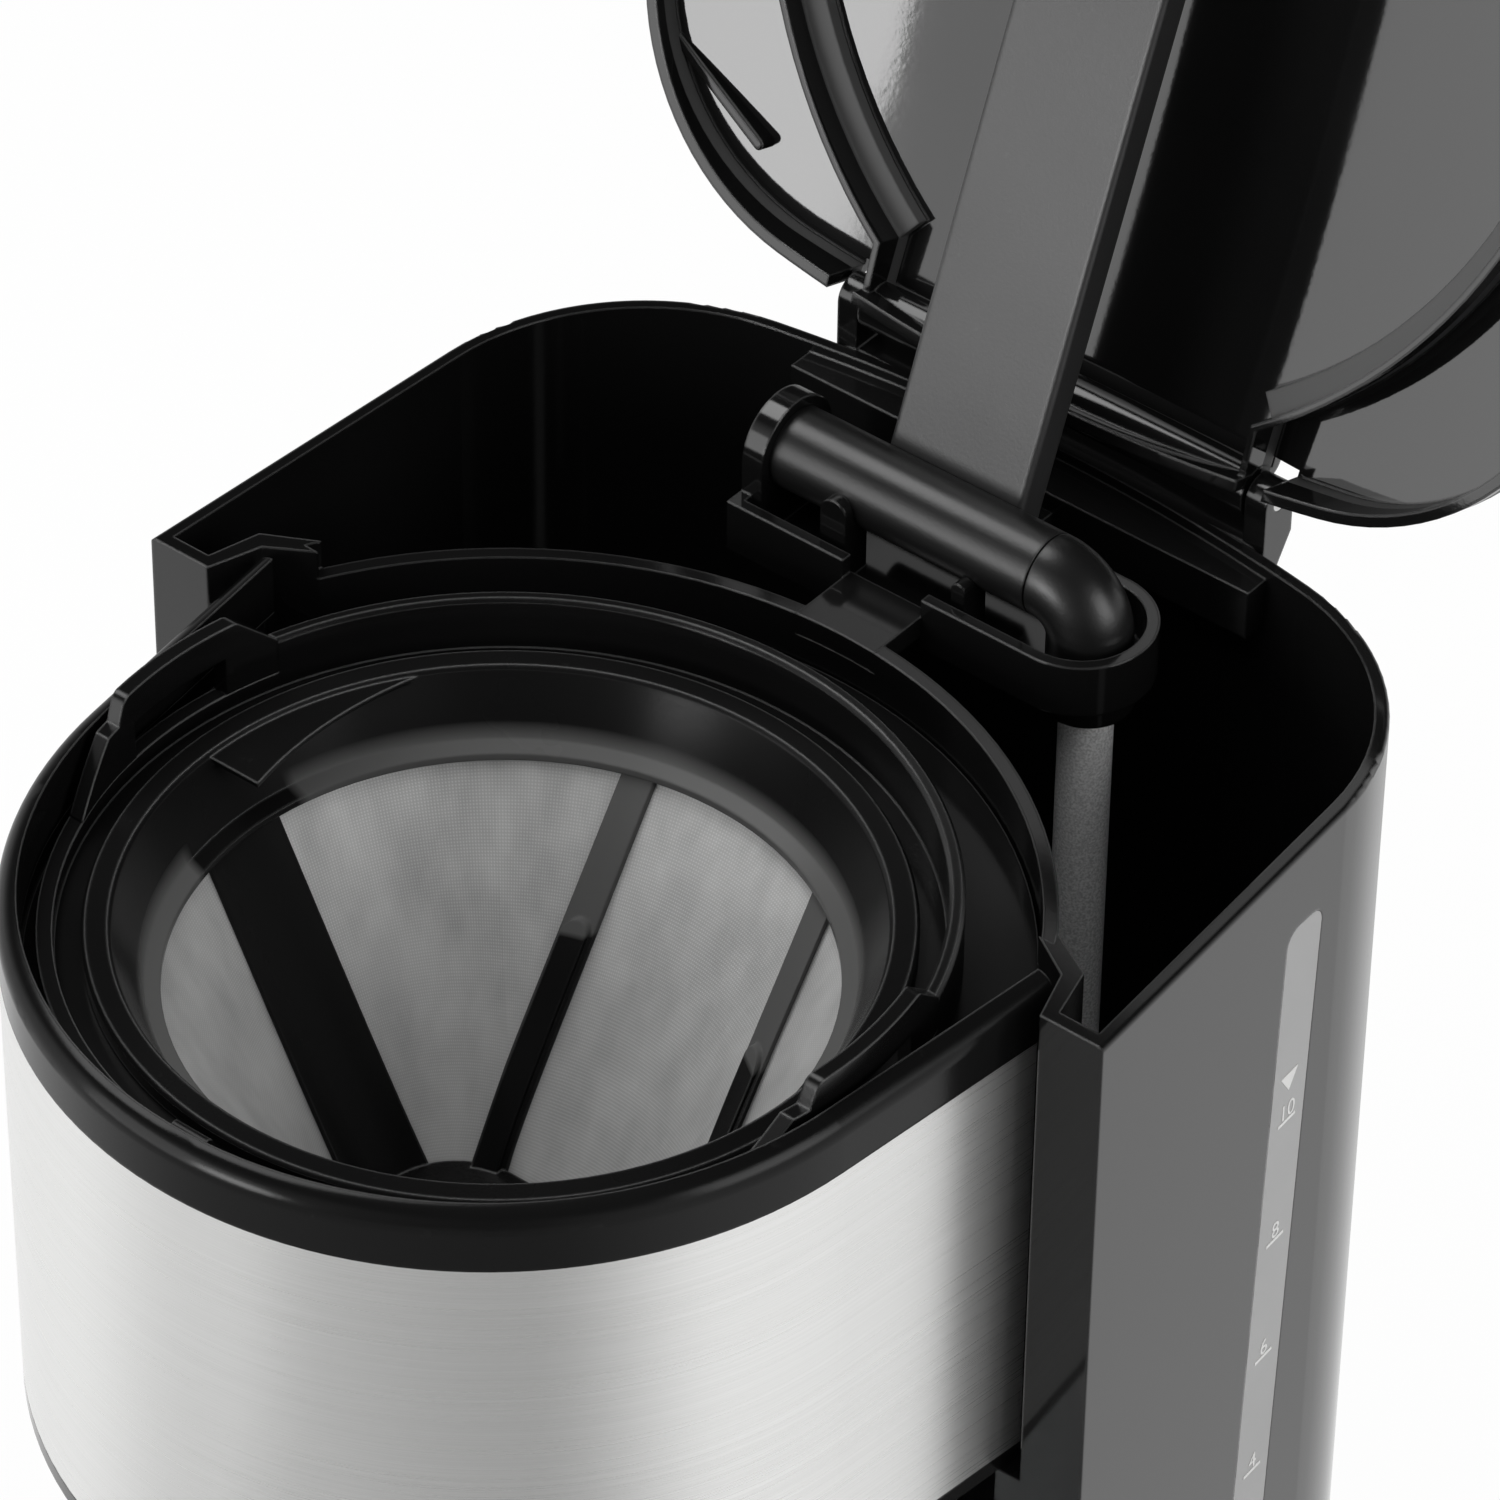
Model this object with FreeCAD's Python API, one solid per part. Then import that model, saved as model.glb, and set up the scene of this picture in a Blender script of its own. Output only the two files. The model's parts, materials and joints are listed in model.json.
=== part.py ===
import FreeCAD
import Part

import math
import os

# Drip coffee maker: a water tank behind a steel-wrapped brew housing, over a hot plate and a carafe.
# Millimetres, +Z up, front towards -Y. The origin is under the middle of the open machine's box.

# Plan of the body, seen from above
EAR_Y = -22.35                # front face of the tank's two ears
EAR_HALF_WIDTH = 92.0
TANK_DEPTH = 109.4            # from the ear face to the middle of the rear wall
SIDE_LEAN = 3.77              # degrees that each side wall leans in towards the rear
REAR_RADIUS = 304.0
CORNER_RADIUS = 42.7
BREW_SETBACK = 25.4           # brew axis in front of the ear face
CHAMBER_RADIUS = 80.0         # brew side of the tank's inner wall
HOUSING_RADIUS = 73.0         # round front of the brew housing
HOUSING_SETBACK = 27.3        # centre of that round front, in front of the ear face
HOUSING_FLARE = 6.4           # degrees that each housing side opens towards the rear
WALL = 2.4
POCKET_RECESS = 3.98          # dark slot in each ear, beside the housing's side wall
POCKET_DEPTH = 9.0
POCKET_TAPER = 3.0
POCKET_CORNER = 4.7

# Levels
FOOT_HEIGHT = 5.0
BASE_HEIGHT = 35.0
BAY_HEIGHT = 137.0            # carafe bay, from the base pad to the brew housing
HOUSING_HEIGHT = 95.0
TANK_HEIGHT = 180.0
TANK_FLOOR = 2.6
TANK_LIP_ROUND = 0.8
INNER_WALL_DROP = 5.3         # the tank's inner wall stops this far under the rim
RIM_BAND_HEIGHT = 10.4
RIM_ROUND = 3.6
FIT = 0.3                     # air left between pieces that part from each other

# Steel wrap and brew housing
STEEL_THICKNESS = 0.8
STEEL_AIR = 0.1
STEEL_BOTTOM_LIP = 3.0
HOUSING_FLOOR = 2.5
OUTLET_RADIUS = 17.0
SHELF_DROP = 14.2             # basket shelf under the rim
SHELF_THICKNESS = 2.8
SHELF_HOLE_GAP = 1.0
CATCH_WIDTH = 6.5
CATCH_AIR = 0.4               # from the catch to the basket's ring
CATCH_X = 1.8
CATCH_DROP = 1.0
CATCH_BAR = 1.1

# Hinge of the lid
HINGE_BACK = 1.0              # hinge axis behind the tank's rear wall
HINGE_RISE = 7.5              # hinge axis over the rim
LUG_INNER_X = 38.0
LUG_WIDTH = 4.0
LUG_RADIUS = 3.6
LUG_GUSSET = 11.0
HINGE_SHELF_DEPTH = 5.6       # shelf behind the rear wall, between the lugs
HINGE_SHELF_THICKNESS = 4.0
PIN_RADIUS = 1.5
PIN_CLEARANCE = 0.05
PIN_REACH = 9.0
HINGE_LEDGE_DEPTH = 8.0
HINGE_LEDGE_HEIGHT = 9.0
HINGE_LEDGE_HALF_WIDTH = 45.0

# Lid
LID_OVERHANG = 2.0
LID_GAP = 0.6
LID_SHELL = 2.0
LID_RISE = 18.7               # top of the dome over the rim
DOME_RADIUS = 1200.0          # curve of the dome from front to back
ARCH_RADIUS = 420.0           # curve of the dome from side to side
LID_EDGE_ROUND = 3.0
LID_OPEN = 108.0              # degrees
BARREL_RADIUS = 4.2
LUG_SLOT_AIR = 0.45
LUG_SLOT_FRONT = 5.0
LUG_SLOT_RISE = 3.0           # notch over the lug's round eye
RIB_THICKNESS = 1.2
RIB_FOOT_X = 36.2
RIB_FOOT_BACK = 11.7          # bend of the rib in front of the hinge axis
RIB_MIDDLE_X = 58.5
RIB_MIDDLE_BACK = 34.6
RIB_END_X = 74.0
RIB_END_BACK = 72.0
RIB_CLEAR = 2.4               # rib edge over the lid's free edge
LEDGE_WIDTH = 4.0             # ledge along the inner side of the rib
LEDGE_HEIGHT = 2.6

# Spout: tube, elbow and arm
TUBE_BACK = 77.9              # tube axis behind the ear face
TUBE_RISE = 3.5               # tube axis over the rim
TUBE_RADIUS = 6.8
TUBE_BORE = 4.5
TUBE_LEFT_X = -30.6
TUBE_RIGHT_X = 22.4
TUBE_CLEARANCE = 0.06
TUBE_CAP_LENGTH = 4.0
ELBOW_BEND = 7.6
ELBOW_BORE = 2.2
ELBOW_SOCKET = 4.5
SPIGOT_LENGTH = 9.0
O_RING_WIRE = 0.7
O_RING_AIR = 0.05
ARM_HALF_WIDTH = 13.0
ARM_LENGTH = 105.0
ARM_OFFSET = 3.0
ARM_THICKNESS = 6.4
ARM_TAIL = 2.0
ARM_ROUND = 1.0
ARM_CHANNEL_HALF = 4.0
ARM_SKIN = 2.0
ARM_OPEN = 112.0              # degrees
SHOWER_RADIUS = 15.0
SHOWER_HEIGHT = 5.0
SHOWER_HOLE = 1.5
SHOWER_HOLES = 8
SHOWER_HOLE_CIRCLE = 9.0

# Tube saddle in the tank
SADDLE_HALF_WIDTH = 12.3
SADDLE_LEFT_X = -31.0
SADDLE_DROP = 2.0             # saddle rim under the tank's rim
SADDLE_HEIGHT = 9.5
SADDLE_END_SHIFT = 2.0        # round end's centre, left of the hose
SADDLE_SOCKET_RADIUS = 7.5
SADDLE_SOCKET_DROP = 5.3
SADDLE_WALL = 2.0
SADDLE_BRIDGE_LEFT = -8.0
SADDLE_BRIDGE_RIGHT = 7.3
SADDLE_BRIDGE_HEIGHT = 4.0
SADDLE_RING_RADIUS = 8.7
SADDLE_RING_WIDTH = 4.0
CRADLE_X = 11.7
CRADLE_WIDTH = 2.6
CLIP_X = -12.8
CLIP_WIDTH = 5.0
CLIP_THICKNESS = 2.0
CLIP_RISE = 1.6               # clip's round top over the tube axis
CRADLE_DROP = 2.3             # cradle's round top under the tube axis

# Hoses
HOSE_RADIUS = 4.35
HOSE_BORE = 2.9
HOSE_X = 30.6
HOSE_BEND = 20.0
COLD_PORT_GAP = 12.4          # cold port behind the tank's inner wall
GROMMET_RADIUS = 7.0
GROMMET_LIP = 2.0
GROMMET_LIP_HEIGHT = 1.2
VALVE_BODY_RADIUS = 7.5
VALVE_BODY_LENGTH = 18.0
BALL_RADIUS = 2.6
BALL_CAGE_RADIUS = 4.2
BALL_SEAT_RADIUS = 1.8

# Base, hot plate and heater
PLATE_RADIUS = 58.0
PLATE_THICKNESS = 4.0
PLATE_STAND = 2.0             # plate top over the base pad
PLATE_EDGE_ROUND = 1.2
SEAL_WIDTH = 3.0
SEAL_LIP = 0.6
COVER_THICKNESS = 2.5
FOOT_RADIUS = 9.0
FOOT_TAPER = 1.4
FOOT_REAR_BACK = 62.0         # rear feet behind the ear face
FOOT_REAR_X = 64.0
FOOT_INSET = 15.0             # front feet inside the round front
BOSS_RADIUS = 4.0
BOSS_WALL_GAP = 3.2           # boss centre from the wall's inner face
BOSS_SPREAD = 42.0            # degrees of the front bosses from the middle
BOSS_REAR_X = 46.0
SCREW_RADIUS = 1.4
SCREW_HEAD_RADIUS = 2.8
SCREW_HEAD = 1.4
SCREW_LENGTH = 10.0
HEATER_RADIUS = 40.0
HEATER_TUBE = 6.0
HEATER_STUB = 16.0
BRACKET_WIDTH = 14.0
BRACKET_THICKNESS = 1.5
THERMOSTAT_RADIUS = 9.0
THERMOSTAT_HEIGHT = 9.0
THERMOSTAT_CAN = 4.5
THERMOSTAT_NECK_RADIUS = 6.3
THERMOSTAT_GAP = 1.8          # can's edge to the bracket
FUSE_RADIUS = 3.5
FUSE_LENGTH = 22.0
FUSE_LEAD_RADIUS = 1.05
TERMINAL_SIZE = (34.0, 16.0, 14.0)
TERMINAL_BACK = 62.0
TERMINAL_BORE = 2.5
TERMINAL_SCREW_DEPTH = 5.6
GLAND_RADIUS = 8.0
GLAND_BORE = 3.6
GLAND_LENGTH = 14.0
GLAND_RISE = 28.0
GLAND_FLANGE = 2.5

# Switch on the base front
BEZEL_WIDTH = 26.0
BEZEL_HEIGHT = 18.0
BEZEL_STAND = 3.5
BEZEL_FRAME = 2.5
ROCKER_TILT = 7.0             # degrees each way
ROCKER_DEPTH = 9.0
ROCKER_SHAFT = 1.2
ROCKER_SHAFT_REACH = 1.5
ROCKER_SHAFT_AIR = 0.25
ROCKER_DISH = 0.5
ROCKER_DISH_RADIUS = 32.0
LENS_RADIUS = 2.6

# Basket, drip valve and filter
BASKET_SIDE_GAP = 1.1         # ring to the housing's inside
BASKET_WALL = 2.5
RING_BEVEL = 0.6
BASKET_RING_DROP = 2.4        # top of the ring under the rim
BASKET_LEDGE_WIDTH = 6.1
BASKET_FRONT_RISE = 3.0       # low front of the ring over the ledge
BASKET_FLOOR_RADIUS = 32.0
BASKET_FLOOR_RISE = 4.5       # basket floor over the housing's underside
GRIP_RISE = 6.6               # grip's bar over the ring
GRIP_FRONT = -9.7             # bar's front shoulder, along Y from the brew axis
GRIP_REAR = 14.4              # bar's rear end
GRIP_REAR_SLOPE = 7.0
GRIP_BAR = 6.0                # bar's height
GRIP_POST = 2.2
GRIP_STEP = 4.2               # drop from the bar to the front hook
GRIP_SHOULDER = 1.8
GRIP_HOOK = 4.8
GRIP_TAIL = 9.5
GRIP_ROUND = 2.0
DRAIN_RADIUS = 2.0
DRAIN_CIRCLE = 6.2
DRAIN_COUNT = 6
VALVE_GUARD_RADIUS = 11.0
VALVE_HEAD_RADIUS = 9.5
VALVE_HEAD_HEIGHT = 2.4
VALVE_SEAL = 1.2
VALVE_STEM_RADIUS = 2.5
VALVE_CLEARANCE = 0.06
VALVE_KNOB_RADIUS = 6.0
VALVE_KNOB_HEIGHT = 4.0
VALVE_SPRING_LENGTH = 6.5
VALVE_SPRING_WALL = 1.2
FILTER_RIM_GAP = 4.1          # rim to the basket's ring
FILTER_RIM_WIDTH = 4.5
FILTER_RIM_HEIGHT = 2.9
FILTER_SKIRT_SLOPE = 4.5
FILTER_SKIRT_DROP = 10.0
FILTER_SKIRT_WALL = 1.5
FILTER_FLOOR_GAP = 8.5        # filter's bottom over the basket's floor
FILTER_SLOT_HALF_LENGTH = 25.0
FILTER_SLOT_HALF_WIDTH = 15.0
FILTER_SPLIT = 48.0           # degrees where the round mouth's arcs meet
MESH_THICKNESS = 0.6
RIB_DEPTH = 1.2
WIDE_RIB = 15.5
THIN_RIB = 5.2
THIN_RIB_X = (-14.5, 25.0)
RIB_FOOT_HEIGHT = 36.0
FILTER_BOTTOM = 2.0
TAB_START = 143.0             # degrees from the right, round to the left
TAB_SWEEP = 37.0
TAB_REACH = 9.6
TAB_WAIST = 5.6               # reach half-way along

# Carafe
CARAFE_RADIUS = 64.0
CARAFE_FOOT_RADIUS = 52.0
CARAFE_NECK_RADIUS = 44.0
CARAFE_BELLY_RISE = 40.0
CARAFE_NECK_RISE = 104.0
CARAFE_HEIGHT = 119.0
CARAFE_FOOT_ROUND = 9.0
CARAFE_WALL = 2.2
CARAFE_STAND = 0.25
BAND_HEIGHT = 14.0
BAND_THICKNESS = 1.4
HANDLE_REACH = 114.5          # from the brew axis to the outside of the handle
HANDLE_WIDTH = 20.0
HANDLE_THICKNESS = 13.0
HANDLE_DROP = 84.0
HANDLE_ROUND = 22.0
HANDLE_ARMPIT = 8.0
HANDLE_LEAN = 3.0             # the grip's lower end, back towards the glass
HANDLE_EDGE = 3.0
HANDLE_SCREW_RADIUS = 2.2
LID_DISC_HEIGHT = 4.0
LID_PLUG_DEPTH = 8.0
LID_DRIP_RADIUS = 12.0
LID_WING = 7.0

# Water window
WINDOW_BACK = 55.8            # window middle behind the ear face
WINDOW_WIDTH = 9.6
WINDOW_TOP_DROP = 15.0
WINDOW_CORNER = 3.0
WINDOW_LENGTH = 148.0
WINDOW_LEAN = 2.6             # degrees that the strip leans back
WINDOW_AIR = 0.05

# Places worked out from the sizes above
BREW_Y = EAR_Y - BREW_SETBACK
COLD_PORT_Y = BREW_Y + CHAMBER_RADIUS + COLD_PORT_GAP
REAR_Y = EAR_Y + TANK_DEPTH
BASE_Z = FOOT_HEIGHT + BASE_HEIGHT
FOOT_FRONT = (HOUSING_RADIUS - FOOT_INSET) * math.sqrt(0.5)
HOUSING_Z = BASE_Z + BAY_HEIGHT
RIM_Z = HOUSING_Z + HOUSING_HEIGHT
TANK_Z = RIM_Z - TANK_HEIGHT
INNER_WALL_Z = RIM_Z - INNER_WALL_DROP
BAND_Z = RIM_Z - RIM_BAND_HEIGHT
STEEL_INSET = STEEL_THICKNESS + STEEL_AIR
HOUSING_HALF_AT_EAR = ((HOUSING_RADIUS + HOUSING_SETBACK * math.sin(math.radians(HOUSING_FLARE)))
                       / math.cos(math.radians(HOUSING_FLARE)))
POCKET_HALF_WIDTH = HOUSING_HALF_AT_EAR + POCKET_RECESS
BASKET_RING_RADIUS = HOUSING_RADIUS - STEEL_INSET - WALL - BASKET_SIDE_GAP
BASKET_RING_INNER = BASKET_RING_RADIUS - BASKET_WALL
BASKET_LEDGE_RADIUS = BASKET_RING_INNER - BASKET_LEDGE_WIDTH
SHELF_HOLE_RADIUS = BASKET_LEDGE_RADIUS + BASKET_WALL + SHELF_HOLE_GAP
FILTER_RIM_RADIUS = BASKET_RING_INNER - FILTER_RIM_GAP
FILTER_RIM_INNER = FILTER_RIM_RADIUS - FILTER_RIM_WIDTH
FILTER_SKIRT_RADIUS = FILTER_RIM_INNER - FILTER_SKIRT_SLOPE
HINGE_Y = REAR_Y + HINGE_BACK
HINGE_Z = RIM_Z + HINGE_RISE
LID_Z = RIM_Z + LID_GAP
TUBE_Y = EAR_Y + TUBE_BACK
TUBE_Z = RIM_Z + TUBE_RISE
SADDLE_Z = RIM_Z - SADDLE_DROP
SADDLE_FLOOR_Z = SADDLE_Z - SADDLE_HEIGHT + SADDLE_WALL
SHELF_Z = RIM_Z - SHELF_DROP
PLATE_TOP = BASE_Z + PLATE_STAND
PLATE_BOTTOM = PLATE_TOP - PLATE_THICKNESS
HEATER_Z = PLATE_BOTTOM - HEATER_TUBE
HEATER_END_Y = BREW_Y + math.sqrt(HEATER_RADIUS ** 2 - HOSE_X ** 2)
FRONT_Y = EAR_Y - HOUSING_SETBACK - HOUSING_RADIUS
SWITCH_Z = FOOT_HEIGHT + BASE_HEIGHT / 2
BASKET_TOP = RIM_Z - BASKET_RING_DROP
BASKET_LEDGE_Z = SHELF_Z + WALL
BASKET_FLOOR_Z = HOUSING_Z + BASKET_FLOOR_RISE
BASKET_FLOOR_TOP = BASKET_FLOOR_Z + BASKET_WALL
BASKET_FRONT_TOP = BASKET_LEDGE_Z + BASKET_FRONT_RISE
FILTER_TOP = BASKET_LEDGE_Z + FIT + FILTER_RIM_HEIGHT
MESH_TOP = FILTER_TOP - FILTER_RIM_HEIGHT - FILTER_SKIRT_DROP
MESH_BOTTOM = BASKET_FLOOR_TOP + FILTER_FLOOR_GAP
VALVE_KNOB_TOP = BASKET_FLOOR_Z - VALVE_SPRING_LENGTH
GLASS_Z = PLATE_TOP + CARAFE_STAND
GLASS_TOP = GLASS_Z + CARAFE_HEIGHT
BAND_TOP = GLASS_TOP - FIT
UP = FreeCAD.Vector(0, 0, 1)


def vec(x, y, z=0.0):
    return FreeCAD.Vector(x, y, z)


def box(x0, x1, y0, y1, z0, z1):
    return Part.makeBox(x1 - x0, y1 - y0, z1 - z0, vec(x0, y0, z0))


def disc(x, y, radius, z0, z1):
    return Part.makeCylinder(radius, z1 - z0, vec(x, y, z0))


def ring(x, y, inner, outer, z0, z1):
    return disc(x, y, outer, z0, z1).cut(disc(x, y, inner, z0 - 1, z1 + 1))


def rod_x(x0, x1, y, z, radius):
    return Part.makeCylinder(radius, x1 - x0, vec(x0, y, z), vec(1, 0, 0))


def rod_y(y0, y1, x, z, radius):
    return Part.makeCylinder(radius, y1 - y0, vec(x, y0, z), vec(0, 1, 0))


def face_of(wire):
    return Part.Face(wire)


def prism(wire, z0, z1):
    flat = face_of(wire)
    flat.translate(vec(0, 0, z0 - wire.BoundBox.ZMin))
    return flat.extrude(vec(0, 0, z1 - z0))


def polygon(points):
    return Part.makePolygon(points + [points[0]])


def arc(first, middle, last):
    return Part.Arc(first, middle, last).toShape()


def line(first, last):
    return Part.LineSegment(first, last).toShape()


def spline_arc(first, middle, last):
    """The same curve as an arc, as a spline edge, for round walls that are wider than they are deep."""
    return Part.Arc(first, middle, last).toBSpline().toShape()


def turned(profile, x, y):
    """A round piece: a closed profile of (radius, z) points, turned about a vertical axis."""
    points = [vec(x + radius, y, z) for radius, z in profile]
    return face_of(polygon(points)).revolve(vec(x, y, 0), UP, 360)


def mirrored_x(shape):
    return shape.mirror(vec(0, 0, 0), vec(1, 0, 0))


def both_sides(shape):
    return shape.fuse(mirrored_x(shape))


def joined(shapes):
    whole = shapes[0].fuse(shapes[1:])
    return whole.removeSplitter()


def less(shape, *tools):
    return shape.cut(list(tools))


def tank_outline(inset, front_inset=None):
    """Rounded rear outline of the tank, moved in by inset, as a closed wire at z = 0."""
    front = EAR_Y + (inset if front_inset is None else front_inset)
    lean = math.radians(SIDE_LEAN)
    along = vec(-math.sin(lean), math.cos(lean))
    outward = vec(math.cos(lean), math.sin(lean))
    rear_centre = vec(0, REAR_Y - REAR_RADIUS)
    start = vec(EAR_HALF_WIDTH, EAR_Y) - outward * CORNER_RADIUS
    offset = start - rear_centre
    reach = REAR_RADIUS - CORNER_RADIUS
    run = -offset.dot(along) + math.sqrt(offset.dot(along) ** 2 - offset.dot(offset) + reach ** 2)
    corner = start + along * run
    radius = CORNER_RADIUS - inset
    towards = (corner - rear_centre).normalize()
    halfway = (outward + towards).normalize()
    side_end = corner + outward * radius
    rear_start = corner + towards * radius
    front_x = EAR_HALF_WIDTH - inset / math.cos(lean) - (front - EAR_Y) * math.tan(lean)
    right = vec(front_x, front)
    middle = corner + halfway * radius

    def left(point):
        return vec(-point.x, point.y)

    edges = [line(left(right), right), line(right, side_end), arc(side_end, middle, rear_start),
             arc(rear_start, vec(0, REAR_Y - inset), left(rear_start)),
             arc(left(rear_start), left(middle), left(side_end)), line(left(side_end), left(right))]
    return Part.Wire(edges)


def housing_side(y, inset):
    """Half width of the housing's flared sides at y, moved in by inset."""
    flare = math.radians(HOUSING_FLARE)
    ahead = y - EAR_Y + HOUSING_SETBACK
    return (HOUSING_RADIUS - inset + ahead * math.sin(flare)) / math.cos(flare)


def housing_outline(inset, rear):
    """Round front with flared sides, moved in by inset and closed by a straight line at y = rear."""
    flare = math.radians(HOUSING_FLARE)
    centre_y = EAR_Y - HOUSING_SETBACK
    radius = HOUSING_RADIUS - inset
    tangent = vec(radius * math.cos(flare), centre_y - radius * math.sin(flare))
    end = vec(housing_side(rear, inset), rear)
    edges = [line(end, tangent), arc(tangent, vec(0, centre_y - radius), vec(-tangent.x, tangent.y)),
             line(vec(-tangent.x, tangent.y), vec(-end.x, end.y)), line(vec(-end.x, end.y), end)]
    return Part.Wire(edges)


def side_x(y, inset):
    lean = math.radians(SIDE_LEAN)
    return EAR_HALF_WIDTH - inset / math.cos(lean) - (y - EAR_Y) * math.tan(lean)


def pocket(margin, z0, z1):
    """Slots in the ears for the housing's side walls, joined across the brew chamber."""
    outer = POCKET_HALF_WIDTH + margin
    inner = outer - POCKET_TAPER
    back = EAR_Y + POCKET_DEPTH + margin
    corner = math.sqrt((CHAMBER_RADIUS + margin) ** 2 - (back + POCKET_CORNER - BREW_Y) ** 2)
    right = [vec(outer + POCKET_TAPER / POCKET_DEPTH, EAR_Y - 1), vec(inner, back),
             vec(corner, back + POCKET_CORNER)]
    left = [vec(-point.x, point.y) for point in reversed(right)]
    return prism(polygon(right + left), z0, z1)


def chamber(radius, z0, z1):
    return disc(0, BREW_Y, radius, z0, z1)


def at_lid_rest(shape):
    """Turn a lid piece from its closed place to the open place it rests in."""
    shape.rotate(vec(0, HINGE_Y, HINGE_Z), vec(1, 0, 0), -LID_OPEN)
    return shape


def at_arm_rest(shape):
    """Turn a spout piece from its closed place to the raised place it rests in."""
    shape.rotate(vec(0, TUBE_Y, TUBE_Z), vec(1, 0, 0), -ARM_OPEN)
    return shape


def rear_tank():
    """Water tank: outer walls, floor, round inner wall, hinge lugs and ledge."""
    body = prism(tank_outline(0), TANK_Z, RIM_Z)
    lip = [edge for edge in body.Edges if edge.BoundBox.ZMin > RIM_Z - FIT and edge.BoundBox.YLength > FIT]
    body = body.makeFillet(TANK_LIP_ROUND, lip)
    body = less(body, chamber(CHAMBER_RADIUS, TANK_Z - 1, RIM_Z + 1), pocket(0, HOUSING_Z, RIM_Z + 1))
    hollow = prism(tank_outline(WALL), TANK_Z + TANK_FLOOR, RIM_Z + 1)
    hollow = less(hollow, chamber(CHAMBER_RADIUS + WALL, TANK_Z, RIM_Z + 2), pocket(WALL, TANK_Z, RIM_Z + 2))
    ledge = box(-HINGE_LEDGE_HALF_WIDTH, HINGE_LEDGE_HALF_WIDTH, REAR_Y - HINGE_LEDGE_DEPTH - WALL, REAR_Y,
                RIM_Z - SADDLE_DROP - HINGE_LEDGE_HEIGHT, RIM_Z - SADDLE_DROP)
    ledge = ledge.common(prism(tank_outline(0), TANK_Z, RIM_Z))
    low_wall = chamber(CHAMBER_RADIUS + WALL, INNER_WALL_Z, RIM_Z + 1)
    low_wall = low_wall.common(box(-EAR_HALF_WIDTH, EAR_HALF_WIDTH, EAR_Y + POCKET_DEPTH + POCKET_CORNER,
                                   REAR_Y, INNER_WALL_Z, RIM_Z + 1))
    bridge_seat = box(SADDLE_BRIDGE_LEFT, SADDLE_BRIDGE_RIGHT, BREW_Y, TUBE_Y,
                      INNER_WALL_Z - SADDLE_BRIDGE_HEIGHT, RIM_Z)
    bridge_seat = bridge_seat.common(chamber(CHAMBER_RADIUS + WALL, TANK_Z, RIM_Z + 1))
    ports = [disc(HOSE_X, TUBE_Y, GROMMET_RADIUS - GROMMET_LIP, TANK_Z - 1, TANK_Z + TANK_FLOOR + 1),
             disc(-HOSE_X, COLD_PORT_Y, HOSE_BORE, TANK_Z - 1, TANK_Z + TANK_FLOOR + 1)]
    body = less(body, hollow, low_wall, *ports)
    tank = joined([body, ledge] + hinge_lugs())
    return less(tank, bridge_seat, window_strip(WINDOW_AIR), *pin_bores(PIN_RADIUS, 0))


def hinge_lugs():
    """Two lugs behind the rear wall, each with a round eye and a gusset, and the shelf between them."""
    back = HINGE_Y + LUG_RADIUS
    profile = [vec(0, HINGE_Y - LUG_RADIUS, RIM_Z - LUG_RADIUS), vec(0, HINGE_Y - LUG_RADIUS, HINGE_Z),
               vec(0, back, HINGE_Z), vec(0, back, RIM_Z), vec(0, REAR_Y - WALL, RIM_Z - LUG_GUSSET),
               vec(0, HINGE_Y - LUG_RADIUS, RIM_Z - LUG_GUSSET)]
    web = face_of(polygon(profile)).extrude(vec(LUG_WIDTH, 0, 0))
    web.translate(vec(LUG_INNER_X, 0, 0))
    eye = rod_x(LUG_INNER_X, LUG_INNER_X + LUG_WIDTH, HINGE_Y, HINGE_Z, LUG_RADIUS)
    lug = web.fuse(eye)
    shelf = box(-LUG_INNER_X - LUG_WIDTH / 2, LUG_INNER_X + LUG_WIDTH / 2, REAR_Y - WALL,
                REAR_Y + HINGE_SHELF_DEPTH, RIM_Z - HINGE_SHELF_THICKNESS, RIM_Z)
    return [lug, mirrored_x(lug), shelf]


def pin_bores(radius, extra):
    """Straight rods on the hinge axis, through the lugs and into the lid's barrel."""
    rod = rod_x(LUG_INNER_X - PIN_REACH - extra, LUG_INNER_X + LUG_WIDTH, HINGE_Y, HINGE_Z, radius)
    return [rod, mirrored_x(rod)]


def hinge_pins():
    return Part.makeCompound(pin_bores(PIN_RADIUS, 0))


def window_strip(air):
    """Clear strip let into the right side wall, with rounded corners at the top, leaning back a little."""
    half = WINDOW_WIDTH / 2 + air
    middle = EAR_Y + WINDOW_BACK
    strip = box(-WALL, 0, -half, half, -WINDOW_LENGTH - air, air)
    corners = [edge for edge in strip.Edges if edge.BoundBox.ZMin > -FIT and edge.BoundBox.YLength < FIT]
    strip = strip.makeFillet(WINDOW_CORNER, corners)
    strip.rotate(vec(0, 0, 0), vec(1, 0, 0), -WINDOW_LEAN)
    strip.rotate(vec(0, 0, 0), UP, SIDE_LEAN)
    strip.translate(vec(side_x(middle, 0), middle, RIM_Z - WINDOW_TOP_DROP))
    return strip


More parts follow.
